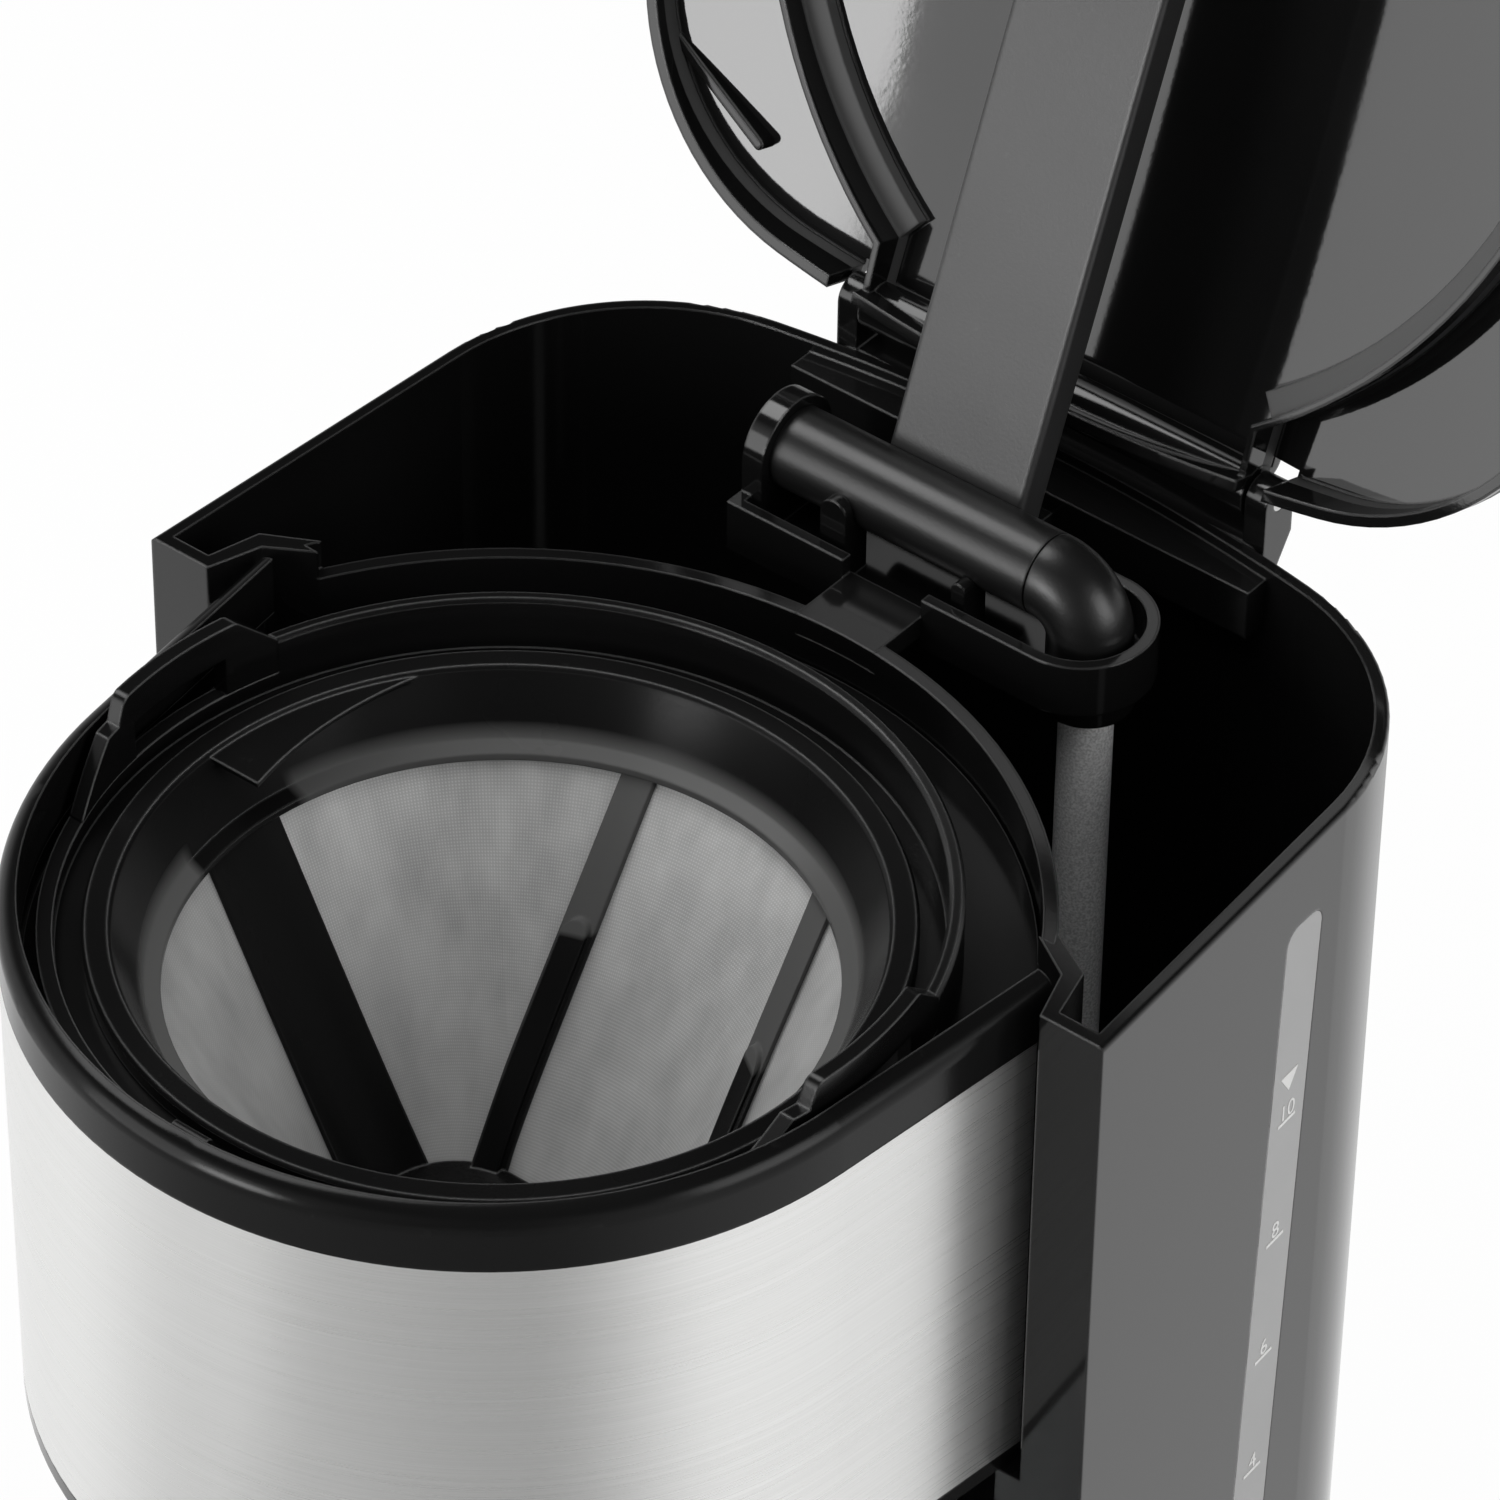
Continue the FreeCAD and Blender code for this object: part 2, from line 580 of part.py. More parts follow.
def brew_housing():
    """Front shell of the brew chamber, and its floor with the drip outlet."""
    rear = EAR_Y + POCKET_DEPTH - 1
    floor_rear = chamber(CHAMBER_RADIUS - FIT, HOUSING_Z, HOUSING_Z + HOUSING_FLOOR)
    shell = prism(housing_outline(STEEL_INSET, rear), HOUSING_Z, BAND_Z)
    hollow = prism(housing_outline(STEEL_INSET + WALL, rear + 1), HOUSING_Z + HOUSING_FLOOR, BAND_Z + 1)
    lip = prism(housing_outline(0, rear), HOUSING_Z, HOUSING_Z + STEEL_BOTTOM_LIP)
    hole = housing_outline(STEEL_INSET, rear + 1)
    lip = lip.cut(prism(hole, HOUSING_Z - 1, HOUSING_Z + STEEL_BOTTOM_LIP + 1))
    whole = joined([shell.cut(hollow), floor_rear.common(behind_ears()), lip])
    return whole.cut(chamber(OUTLET_RADIUS, HOUSING_Z - 1, HOUSING_Z + HOUSING_FLOOR + 1))


def behind_ears():
    """Room behind the ears' front, between the inner faces of the housing's side walls."""
    front = EAR_Y - WALL
    half = housing_side(front, STEEL_INSET + WALL)
    return box(-half, half, front, REAR_Y, 0, RIM_Z)


def basket_shelf():
    """Flat ring set into the housing, which carries the basket."""
    low = SHELF_Z - SHELF_THICKNESS
    front = prism(housing_outline(STEEL_INSET + WALL, EAR_Y), low, SHELF_Z)
    rear = chamber(CHAMBER_RADIUS - FIT, low, SHELF_Z).common(behind_ears())
    return joined([front, rear]).cut(chamber(SHELF_HOLE_RADIUS, HOUSING_Z, RIM_Z))


def rim_band():
    """Black band round the top of the housing, rounded outside, with the lid's catch at the front."""
    rear = EAR_Y + POCKET_DEPTH - 1
    band = prism(housing_outline(0, rear), BAND_Z, RIM_Z)
    top = [edge for edge in band.Edges if edge.BoundBox.ZMin > RIM_Z - FIT and edge.BoundBox.YMax < rear + FIT
           and edge.BoundBox.YMin < rear - FIT]
    band = band.makeFillet(RIM_ROUND, top)
    inside = STEEL_INSET + WALL
    band = band.cut(prism(housing_outline(inside, rear + 1), BAND_Z - 1, RIM_Z + 1))
    front = EAR_Y - HOUSING_SETBACK - HOUSING_RADIUS + inside
    left, right = CATCH_X - CATCH_WIDTH / 2, CATCH_X + CATCH_WIDTH / 2
    top = RIM_Z - CATCH_DROP
    end = BREW_Y - BASKET_RING_RADIUS - CATCH_AIR
    tongue = box(left, right, front - WALL / 2, end, BAND_Z + WALL, top - CATCH_BAR)
    bar = rod_x(left, right, end - CATCH_BAR, top - CATCH_BAR, CATCH_BAR)
    return joined([band, tongue, bar])


def steel_wrap():
    """Brushed steel sheet round the housing's front, tucked into the slots beside the ears."""
    rear = EAR_Y + POCKET_DEPTH / 2
    bottom = HOUSING_Z + STEEL_BOTTOM_LIP
    sheet = prism(housing_outline(0, rear), bottom, BAND_Z)
    return sheet.cut(prism(housing_outline(STEEL_THICKNESS, rear + 1), bottom - 1, BAND_Z + 1))


def lid_plan(inset):
    """Outline of the lid: the tank's and the housing's together, with the overhang all round."""
    out = inset - LID_OVERHANG
    return [tank_outline(out), housing_outline(out, EAR_Y + WALL)]


def lid_solid(inset, top_drop, z0):
    """Block under a shallow dome, curved more across than along, with the lid's outline moved in by inset."""
    dome_y = (FRONT_Y + REAR_Y) / 2
    top = RIM_Z + LID_RISE - top_drop
    half = ARCH_RADIUS / 4
    side_drop = ARCH_RADIUS - math.sqrt(ARCH_RADIUS ** 2 - half ** 2)
    low = RIM_Z - LID_RISE
    left, right = vec(-half, dome_y, top - side_drop), vec(half, dome_y, top - side_drop)
    section = Part.Wire([arc(left, vec(0, dome_y, top), right), line(right, vec(half, dome_y, low)),
                         line(vec(half, dome_y, low), vec(-half, dome_y, low)),
                         line(vec(-half, dome_y, low), left)])
    axis = vec(0, dome_y, top - DOME_RADIUS + top_drop)
    swing = math.degrees((REAR_Y - FRONT_Y) / DOME_RADIUS)
    section.rotate(axis, vec(1, 0, 0), -swing)
    dome = face_of(section).revolve(axis, vec(1, 0, 0), 2 * swing)
    blocks = [prism(wire, z0, RIM_Z + 2 * LID_RISE) for wire in lid_plan(inset)]
    return joined(blocks).common(dome)


def lid_cover():
    """Outside of the lid, with a rounded edge between the dome and the skirt."""
    block = lid_solid(0, 0, LID_Z)
    shoulder = [edge for edge in block.Edges if edge.BoundBox.ZMin > LID_Z + LID_EDGE_ROUND]
    return block.makeFillet(LID_EDGE_ROUND, shoulder)


def rib_band(inward, outward):
    """Curved band along one rib, reaching from its inner face by the two widths."""
    points = [vec(RIB_FOOT_X, HINGE_Y - RIB_FOOT_BACK), vec(RIB_MIDDLE_X, HINGE_Y - RIB_MIDDLE_BACK),
              vec(RIB_END_X, HINGE_Y - RIB_END_BACK)]
    centre = arc(*points).Curve.Center

    def shifted(width):
        return [point + (point - centre).normalize() * width for point in points]

    near, far = shifted(-inward), shifted(outward)
    edges = [arc(*near), line(near[2], far[2]), arc(far[2], far[1], far[0]), line(far[0], near[0])]
    return prism(Part.Wire(edges), LID_Z + RIB_CLEAR, RIM_Z + 2 * LID_RISE)


def lid_rib():
    """Stiffening rib under the lid: a straight foot by the hinge, then a curve outward, with a ledge."""
    foot = box(RIB_FOOT_X, RIB_FOOT_X + RIB_THICKNESS, HINGE_Y - RIB_FOOT_BACK, HINGE_Y - BARREL_RADIUS / 2,
               LID_Z + RIB_CLEAR, RIM_Z + 2 * LID_RISE)
    ledge = rib_band(LEDGE_WIDTH, FIT).cut(lid_solid(LID_SHELL, LID_SHELL + LEDGE_HEIGHT, LID_Z))
    return joined([foot, rib_band(0, RIB_THICKNESS), ledge])


def lid_shell():
    """Domed lid with a skirt, two ribs and the hinge barrel, modelled closed and turned open."""
    outer = lid_cover()
    room = lid_solid(LID_SHELL, LID_SHELL, LID_Z - 1)
    ribs = both_sides(lid_rib()).common(lid_solid(LID_SHELL / 2, LID_SHELL / 2, LID_Z))
    half = LUG_INNER_X - LUG_SLOT_AIR
    barrel = rod_x(-half, half, HINGE_Y, HINGE_Z, BARREL_RADIUS)
    slot = box(half, LUG_INNER_X + LUG_WIDTH + LUG_SLOT_AIR, HINGE_Y - LUG_SLOT_FRONT, REAR_Y + WALL * 3,
               LID_Z - 1, HINGE_Z + LUG_RADIUS + LUG_SLOT_RISE)
    lid = joined([outer.cut(room), ribs, barrel])
    bores = pin_bores(PIN_RADIUS + PIN_CLEARANCE, FIT)
    return at_lid_rest(less(lid, slot, mirrored_x(slot), *bores))


def saddle_outline(inset):
    """Slot outline of the trough: straight at the left, round at the right."""
    half = SADDLE_HALF_WIDTH - inset
    left = SADDLE_LEFT_X + inset
    end = HOSE_X - SADDLE_END_SHIFT
    corners = [vec(left, TUBE_Y - half), vec(end, TUBE_Y - half), vec(end, TUBE_Y + half),
               vec(left, TUBE_Y + half)]
    edges = [line(corners[0], corners[1]), arc(corners[1], vec(end + half, TUBE_Y), corners[2]),
             line(corners[2], corners[3]), line(corners[3], corners[0])]
    return Part.Wire(edges)


def tube_finger(x, width, top):
    """Upright finger with a round top, in front of the tube."""
    half = width / 2
    front = TUBE_Y - TUBE_RADIUS - CLIP_THICKNESS
    back = TUBE_Y - TUBE_RADIUS / 2
    upright = box(x - half, x + half, front, back, SADDLE_FLOOR_Z - SADDLE_WALL, top - half)
    return upright.fuse(rod_y(front, back, x, top - half, half))


def tube_saddle():
    """Trough that carries the spout tube, bridged to the inner wall and to the hinge ledge."""
    trough = prism(saddle_outline(0), SADDLE_Z - SADDLE_HEIGHT, SADDLE_Z)
    trough = trough.cut(prism(saddle_outline(SADDLE_WALL), SADDLE_FLOOR_Z, SADDLE_Z + 1))
    left, right = SADDLE_BRIDGE_LEFT, SADDLE_BRIDGE_RIGHT
    low, high = INNER_WALL_Z - SADDLE_BRIDGE_HEIGHT, INNER_WALL_Z
    trough = trough.cut(box(left, right, BREW_Y, TUBE_Y, high, SADDLE_Z + 1))
    front = box(left, right, BREW_Y, TUBE_Y - SADDLE_HALF_WIDTH + SADDLE_WALL, low, high)
    front = front.cut(chamber(CHAMBER_RADIUS, TANK_Z, RIM_Z))
    ledge = REAR_Y - HINGE_LEDGE_DEPTH - WALL
    rear = box(left, right, TUBE_Y + SADDLE_HALF_WIDTH - SADDLE_WALL, ledge, low, high)
    socket = disc(HOSE_X, TUBE_Y, SADDLE_SOCKET_RADIUS, SADDLE_Z - SADDLE_HEIGHT - SADDLE_SOCKET_DROP,
                  SADDLE_FLOOR_Z)
    ring_right = SADDLE_LEFT_X + SADDLE_RING_WIDTH
    collar = rod_x(SADDLE_LEFT_X, ring_right, TUBE_Y, TUBE_Z, SADDLE_RING_RADIUS)
    stand = box(SADDLE_LEFT_X, ring_right, TUBE_Y - SADDLE_RING_RADIUS, TUBE_Y + SADDLE_RING_RADIUS,
                SADDLE_Z - SADDLE_HEIGHT, TUBE_Z)
    fingers = [tube_finger(CLIP_X, CLIP_WIDTH, TUBE_Z + CLIP_RISE),
               tube_finger(CRADLE_X, CRADLE_WIDTH, TUBE_Z - CRADLE_DROP)]
    whole = joined([trough, front, rear, socket, collar, stand] + fingers)
    seat = rod_x(SADDLE_LEFT_X - 1, CRADLE_X + CRADLE_WIDTH, TUBE_Y, TUBE_Z, TUBE_RADIUS + TUBE_CLEARANCE)
    hose_hole = disc(HOSE_X, TUBE_Y, HOSE_RADIUS + TUBE_CLEARANCE, TANK_Z, RIM_Z)
    return less(whole, seat, hose_hole)


def outlet_tube():
    """Spout tube with a closed left end and a port into the arm."""
    tube = rod_x(TUBE_LEFT_X, TUBE_RIGHT_X, TUBE_Y, TUBE_Z, TUBE_RADIUS)
    bore = rod_x(TUBE_LEFT_X - 1, TUBE_RIGHT_X + 1, TUBE_Y, TUBE_Z, TUBE_BORE)
    port = disc(0, TUBE_Y, TUBE_BORE / 2, TUBE_Z, TUBE_Z + TUBE_RADIUS + 1)
    return at_arm_rest(less(tube, bore, port))


def tube_end_cap():
    return at_arm_rest(rod_x(TUBE_LEFT_X, TUBE_LEFT_X + TUBE_CAP_LENGTH, TUBE_Y, TUBE_Z, TUBE_BORE))


def spout_arm():
    """Flat hollow arm seated on the tube; it carries water from the port to the shower head."""
    under = TUBE_Z + ARM_OFFSET
    tip = TUBE_Y - ARM_LENGTH
    blade = box(-ARM_HALF_WIDTH, ARM_HALF_WIDTH, tip - ARM_HALF_WIDTH, TUBE_Y + ARM_TAIL, under,
                under + ARM_THICKNESS)
    long_edges = [edge for edge in blade.Edges if edge.BoundBox.YLength > ARM_LENGTH]
    blade = blade.makeFillet(ARM_ROUND, long_edges)
    channel = box(-ARM_CHANNEL_HALF, ARM_CHANNEL_HALF, tip - ARM_CHANNEL_HALF, TUBE_Y, under + ARM_SKIN,
                  under + ARM_THICKNESS - ARM_SKIN)
    outlet = disc(0, tip, ARM_CHANNEL_HALF, under - 1, under + ARM_SKIN + 1)
    seat = rod_x(-ARM_HALF_WIDTH - 1, ARM_HALF_WIDTH + 1, TUBE_Y, TUBE_Z, TUBE_RADIUS)
    return at_arm_rest(less(blade, channel, outlet, seat))


def shower_head():
    """Shallow cup with drip holes, under the arm's tip."""
    tip = TUBE_Y - ARM_LENGTH
    top = TUBE_Z + ARM_OFFSET
    bottom = top - SHOWER_HEIGHT
    cup = disc(0, tip, SHOWER_RADIUS, bottom, top)
    cup = cup.cut(disc(0, tip, ARM_HALF_WIDTH - SHOWER_HOLE, bottom + SHOWER_HOLE, top + 1))
    holes = []
    for index in range(SHOWER_HOLES):
        turn = 2 * math.pi * index / SHOWER_HOLES
        x, y = SHOWER_HOLE_CIRCLE * math.cos(turn), tip + SHOWER_HOLE_CIRCLE * math.sin(turn)
        holes.append(disc(x, y, SHOWER_HOLE, bottom - 1, top))
    return at_arm_rest(cup.cut(holes))


def quarter_bend(radius, bend, x, y, z):
    """Round bar bent down from the X direction: it starts at (x, y, z) and ends below and to the right."""
    start = Part.Wire(Part.makeCircle(radius, vec(x, y, z), vec(1, 0, 0)))
    return face_of(start).revolve(vec(x, y, z - bend), vec(0, 1, 0), 90)


def outlet_elbow():
    """Elbow from the riser hose into the spout tube, with the spigot that the tube turns on."""
    start = TUBE_RIGHT_X + FIT
    bend = HOSE_X - ELBOW_BEND
    low = TUBE_Z - ELBOW_BEND
    tip = start - SPIGOT_LENGTH
    solid = joined([rod_x(start, bend, TUBE_Y, TUBE_Z, TUBE_RADIUS),
                    quarter_bend(TUBE_RADIUS, ELBOW_BEND, bend, TUBE_Y, TUBE_Z),
                    disc(HOSE_X, TUBE_Y, TUBE_RADIUS, SADDLE_FLOOR_Z, low),
                    rod_x(tip, bend, TUBE_Y, TUBE_Z, TUBE_BORE - TUBE_CLEARANCE)])
    bore = joined([rod_x(tip - 1, bend, TUBE_Y, TUBE_Z, ELBOW_BORE),
                   quarter_bend(ELBOW_BORE, ELBOW_BEND, bend, TUBE_Y, TUBE_Z),
                   disc(HOSE_X, TUBE_Y, ELBOW_BORE, SADDLE_FLOOR_Z - 1, low)])
    socket = disc(HOSE_X, TUBE_Y, HOSE_RADIUS, SADDLE_FLOOR_Z - 1, SADDLE_FLOOR_Z + ELBOW_SOCKET)
    middle = start - SPIGOT_LENGTH / 2
    groove = rod_x(middle - O_RING_WIRE, middle + O_RING_WIRE, TUBE_Y, TUBE_Z, TUBE_BORE)
    floor = TUBE_BORE - O_RING_AIR - 2 * O_RING_WIRE
    groove = groove.cut(rod_x(middle - SPIGOT_LENGTH, middle + SPIGOT_LENGTH, TUBE_Y, TUBE_Z, floor))
    return less(solid, bore, socket, groove)


def tube_o_ring():
    middle = TUBE_RIGHT_X + FIT - SPIGOT_LENGTH / 2
    major = TUBE_BORE - O_RING_AIR - O_RING_WIRE
    return Part.makeTorus(major, O_RING_WIRE, vec(middle, TUBE_Y, TUBE_Z), vec(1, 0, 0))


def bent_hose(x, upright_y, top):
    """Hose from a heater stub: rearward, a quarter bend, then straight up to z = top."""
    front = HEATER_END_Y + HEATER_TUBE + FIT
    knee = upright_y - HOSE_BEND
    layers = []
    for radius in (HOSE_RADIUS, HOSE_BORE):
        start = Part.Wire(Part.makeCircle(radius, vec(x, knee, HEATER_Z), vec(0, 1, 0)))
        bend = face_of(start).revolve(vec(x, knee, HEATER_Z + HOSE_BEND), vec(1, 0, 0), 90)
        layers.append(joined([rod_y(front, knee, x, HEATER_Z, radius), bend,
                              disc(x, upright_y, radius, HEATER_Z + HOSE_BEND, top)]))
    return layers[0].cut(layers[1])


def riser_hose():
    return bent_hose(HOSE_X, TUBE_Y, SADDLE_FLOOR_Z + ELBOW_SOCKET)


def inlet_hose():
    return bent_hose(-HOSE_X, COLD_PORT_Y, TANK_Z - VALVE_BODY_LENGTH)


def hose_grommet():
    """Rubber grommet that seals the riser hose in the tank's floor."""
    neck = GROMMET_RADIUS - GROMMET_LIP
    lip = GROMMET_LIP_HEIGHT
    top = TANK_Z + TANK_FLOOR
    whole = joined([disc(HOSE_X, TUBE_Y, neck, TANK_Z, top),
                    disc(HOSE_X, TUBE_Y, GROMMET_RADIUS, top, top + lip),
                    disc(HOSE_X, TUBE_Y, GROMMET_RADIUS, TANK_Z - lip, TANK_Z)])
    return whole.cut(disc(HOSE_X, TUBE_Y, HOSE_RADIUS, TANK_Z - GROMMET_RADIUS, top + GROMMET_RADIUS))


def check_valve():
    """Valve body under the tank's cold port, with a ball cage and a spigot for the inlet hose."""
    y = COLD_PORT_Y
    bottom = TANK_Z - VALVE_BODY_LENGTH
    body = disc(-HOSE_X, y, VALVE_BODY_RADIUS, bottom, TANK_Z)
    spigot = disc(-HOSE_X, y, HOSE_BORE, bottom - 2 * HOSE_BORE, bottom)
    cage = disc(-HOSE_X, y, BALL_CAGE_RADIUS, bottom + GROMMET_LIP, TANK_Z - GROMMET_LIP)
    way = disc(-HOSE_X, y, BALL_SEAT_RADIUS, bottom - 3 * HOSE_BORE, TANK_Z + 1)
    return less(body.fuse(spigot), cage, way)


def check_ball():
    seat = TANK_Z - VALVE_BODY_LENGTH + GROMMET_LIP
    return Part.makeSphere(BALL_RADIUS, vec(-HOSE_X, COLD_PORT_Y, seat + BALL_RADIUS))


def base_block(inset, z0, z1):
    """Whole plan of the base, moved in by inset."""
    front = prism(housing_outline(inset, EAR_Y + inset + WALL), z0, z1)
    return joined([front, prism(tank_outline(inset), z0, z1)])


def boss_places():
    """Where the cover's four screws go: two behind the round front, two at the rear wall."""
    reach = HOUSING_RADIUS - WALL - BOSS_WALL_GAP
    spread = math.radians(BOSS_SPREAD)
    front_x, front_y = reach * math.sin(spread), EAR_Y - HOUSING_SETBACK - reach * math.cos(spread)
    rear_y = REAR_Y - BOSS_REAR_X ** 2 / (2 * REAR_RADIUS) - WALL - BOSS_WALL_GAP
    return [(front_x, front_y), (-front_x, front_y), (BOSS_REAR_X, rear_y), (-BOSS_REAR_X, rear_y)]


def base_shell():
    """Base that carries the hot plate and the switch, open below, with a wide hole under the pedestal."""
    top = BASE_Z - WALL
    pad = base_block(0, FOOT_HEIGHT, BASE_Z).cut(base_block(WALL, FOOT_HEIGHT - 1, top))
    low = FOOT_HEIGHT + COVER_THICKNESS
    bosses = [disc(x, y, BOSS_RADIUS, low, top) for x, y in boss_places()]
    shell = joined([pad] + bosses)
    pilots = [disc(x, y, SCREW_RADIUS, low - 1, low + SCREW_LENGTH) for x, y in boss_places()]
    plate_hole = chamber(PLATE_RADIUS + SEAL_WIDTH, top - 1, BASE_Z + 1)
    hose_ways = [disc(HOSE_X, TUBE_Y, HOSE_BEND, top - 1, BASE_Z + 1),
                 disc(-HOSE_X, COLD_PORT_Y, HOSE_BEND, top - 1, BASE_Z + 1)]
    gland_hole = rod_y(REAR_Y - GLAND_LENGTH, REAR_Y + 1, 0, GLAND_RISE, GLAND_RADIUS - GLAND_FLANGE)
    lens_hole = rod_y(FRONT_Y - 1, FRONT_Y + BEZEL_WIDTH, BEZEL_WIDTH, SWITCH_Z, LENS_RADIUS)
    return less(shell, plate_hole, gland_hole, lens_hole, bezel_block(), *hose_ways, *pilots)


def pedestal():
    """Hollow column on the base, behind the carafe, that carries the tank."""
    column = prism(tank_outline(0), BASE_Z, TANK_Z).cut(chamber(CHAMBER_RADIUS, BASE_Z - 1, TANK_Z + 1))
    room = prism(tank_outline(WALL), BASE_Z - 1, TANK_Z + 1)
    return column.cut(room.cut(chamber(CHAMBER_RADIUS + WALL, BASE_Z - 2, TANK_Z + 2)))


def bezel_block():
    half, tall = BEZEL_WIDTH / 2, BEZEL_HEIGHT / 2
    return box(-half, half, FRONT_Y - BEZEL_STAND, FRONT_Y + 2 * WALL, SWITCH_Z - tall, SWITCH_Z + tall)


def bottom_cover():
    """Flat plate that closes the base from below, held by four screws."""
    high = FOOT_HEIGHT + COVER_THICKNESS
    plate = base_block(WALL + FIT, FOOT_HEIGHT, high)
    holes = [disc(x, y, SCREW_RADIUS, 0, high + 1) for x, y in boss_places()]
    sinks = [disc(x, y, SCREW_HEAD_RADIUS, 0, FOOT_HEIGHT + SCREW_HEAD) for x, y in boss_places()]
    return less(plate, *holes, *sinks)


def cover_screws():
    low = FOOT_HEIGHT
    screws = []
    for x, y in boss_places():
        head = disc(x, y, SCREW_HEAD_RADIUS, low, low + SCREW_HEAD)
        screws.append(head.fuse(disc(x, y, SCREW_RADIUS, low, low + SCREW_LENGTH)).removeSplitter())
    return Part.makeCompound(screws)


def rubber_feet():
    """Four tapered feet under the cover."""
    front_y, rear_y = BREW_Y - FOOT_FRONT, EAR_Y + FOOT_REAR_BACK
    places = [(FOOT_FRONT, front_y), (-FOOT_FRONT, front_y), (FOOT_REAR_X, rear_y), (-FOOT_REAR_X, rear_y)]
    feet = []
    for x, y in places:
        feet.append(Part.makeCone(FOOT_RADIUS - FOOT_TAPER, FOOT_RADIUS, FOOT_HEIGHT, vec(x, y, 0)))
    return Part.makeCompound(feet)


def hot_plate():
    """Coated steel plate that keeps the carafe warm, with a turned-down edge."""
    plate = chamber(PLATE_RADIUS, PLATE_BOTTOM, PLATE_TOP)
    rim = [edge for edge in plate.Edges if edge.BoundBox.ZMin > PLATE_TOP - FIT]
    return plate.makeFillet(PLATE_EDGE_ROUND, rim)


def hot_plate_seal():
    """Rubber ring between the plate and the base pad, with a lip over the pad."""
    outer = PLATE_RADIUS + SEAL_WIDTH
    body = ring(0, BREW_Y, PLATE_RADIUS, outer, BASE_Z - WALL, BASE_Z)
    lip = ring(0, BREW_Y, PLATE_RADIUS, outer + SEAL_WIDTH, BASE_Z, BASE_Z + SEAL_LIP)
    return joined([body, lip])


def heating_element():
    """C-shaped heating tube clamped under the plate, with a hose stub at each end."""
    half_gap = math.degrees(math.asin(HOSE_X / HEATER_RADIUS))
    start = vec(0, BREW_Y + HEATER_RADIUS, HEATER_Z)
    ring_face = Part.Wire(Part.makeCircle(HEATER_TUBE, start, vec(1, 0, 0)))
    bar = face_of(ring_face)
    bar.rotate(vec(0, BREW_Y, 0), UP, half_gap)
    pieces = [bar.revolve(vec(0, BREW_Y, 0), UP, 360 - 2 * half_gap)]
    for x in (-HOSE_X, HOSE_X):
        pieces.append(Part.makeSphere(HEATER_TUBE, vec(x, HEATER_END_Y, HEATER_Z)))
        pieces.append(rod_y(HEATER_END_Y, HEATER_END_Y + HEATER_STUB, x, HEATER_Z, HOSE_BORE))
    return joined(pieces)


def heater_bracket():
    """Steel strap across the heating tube, hung from a stud in the middle of the plate."""
    low = HEATER_Z - HEATER_TUBE - BRACKET_THICKNESS
    strap = box(-HEATER_RADIUS - HEATER_TUBE, HEATER_RADIUS + HEATER_TUBE, BREW_Y - BRACKET_WIDTH / 2,
                BREW_Y + BRACKET_WIDTH / 2, low, low + BRACKET_THICKNESS)
    return joined([strap, chamber(BRACKET_WIDTH / 4, low, PLATE_BOTTOM)])


def thermostat():
    y = BREW_Y + BRACKET_WIDTH / 2 + THERMOSTAT_GAP + THERMOSTAT_RADIUS
    can = disc(0, y, THERMOSTAT_RADIUS, PLATE_BOTTOM - THERMOSTAT_CAN, PLATE_BOTTOM)
    neck = disc(0, y, THERMOSTAT_NECK_RADIUS, PLATE_BOTTOM - THERMOSTAT_HEIGHT, PLATE_BOTTOM)
    return joined([can, neck])


def thermal_fuse():
    """Sleeved fuse lying against the underside of the plate."""
    y = BREW_Y - BRACKET_WIDTH / 2 - 2 * FUSE_RADIUS
    half = FUSE_LENGTH / 2
    sleeve = rod_x(-half, half, y, PLATE_BOTTOM - FUSE_RADIUS, FUSE_RADIUS)
    leads = rod_x(-half - FUSE_RADIUS, half + FUSE_RADIUS, y, PLATE_BOTTOM - FUSE_RADIUS, FUSE_LEAD_RADIUS)
    return joined([sleeve, leads])


def terminal_block():
    """Screw terminals for the mains, standing on the cover."""
    long, deep, tall = TERMINAL_SIZE
    low = FOOT_HEIGHT + COVER_THICKNESS
    middle = EAR_Y + TERMINAL_BACK
    block = box(-long / 2, long / 2, middle, middle + deep, low, low + tall)
    ways = []
    for index in (-1, 0, 1):
        ways.append(rod_y(middle - 1, middle + deep + 1, index * long / 3, low + tall / 3, TERMINAL_BORE))
        screw_end = low + tall - TERMINAL_SCREW_DEPTH
        ways.append(disc(index * long / 3, middle + deep / 2, TERMINAL_BORE, screw_end, low + tall + 1))
    return block.cut(ways)


def cord_gland():
    """Gland in the rear wall, with a bore for the mains lead."""
    inner = GLAND_RADIUS - GLAND_FLANGE
    start = REAR_Y - GLAND_LENGTH + 2 * GLAND_FLANGE
    end = REAR_Y + 2 * GLAND_FLANGE
    flange = rod_y(REAR_Y, REAR_Y + GLAND_FLANGE, 0, GLAND_RISE, GLAND_RADIUS)
    whole = joined([rod_y(start, end, 0, GLAND_RISE, inner), flange])
    return whole.cut(rod_y(start - 1, end + 1, 0, GLAND_RISE, GLAND_BORE))


def switch_bezel():
    """Frame round the rocker, standing a little out of the base's round front."""
    half, tall = BEZEL_WIDTH / 2 - BEZEL_FRAME, BEZEL_HEIGHT / 2 - BEZEL_FRAME
    window = box(-half, half, FRONT_Y - BEZEL_STAND - 1, FRONT_Y + 2 * WALL + 1,
                 SWITCH_Z - tall, SWITCH_Z + tall)
    shaft = rod_x(-BEZEL_WIDTH, BEZEL_WIDTH, FRONT_Y + 1, SWITCH_Z, ROCKER_SHAFT + PIN_CLEARANCE)
    seat = half + ROCKER_SHAFT_REACH + ROCKER_SHAFT_AIR
    shaft = shaft.common(box(-seat, seat, FRONT_Y - WALL, FRONT_Y + 2 * WALL, 0, BASE_Z))
    return less(bezel_block(), window, shaft)


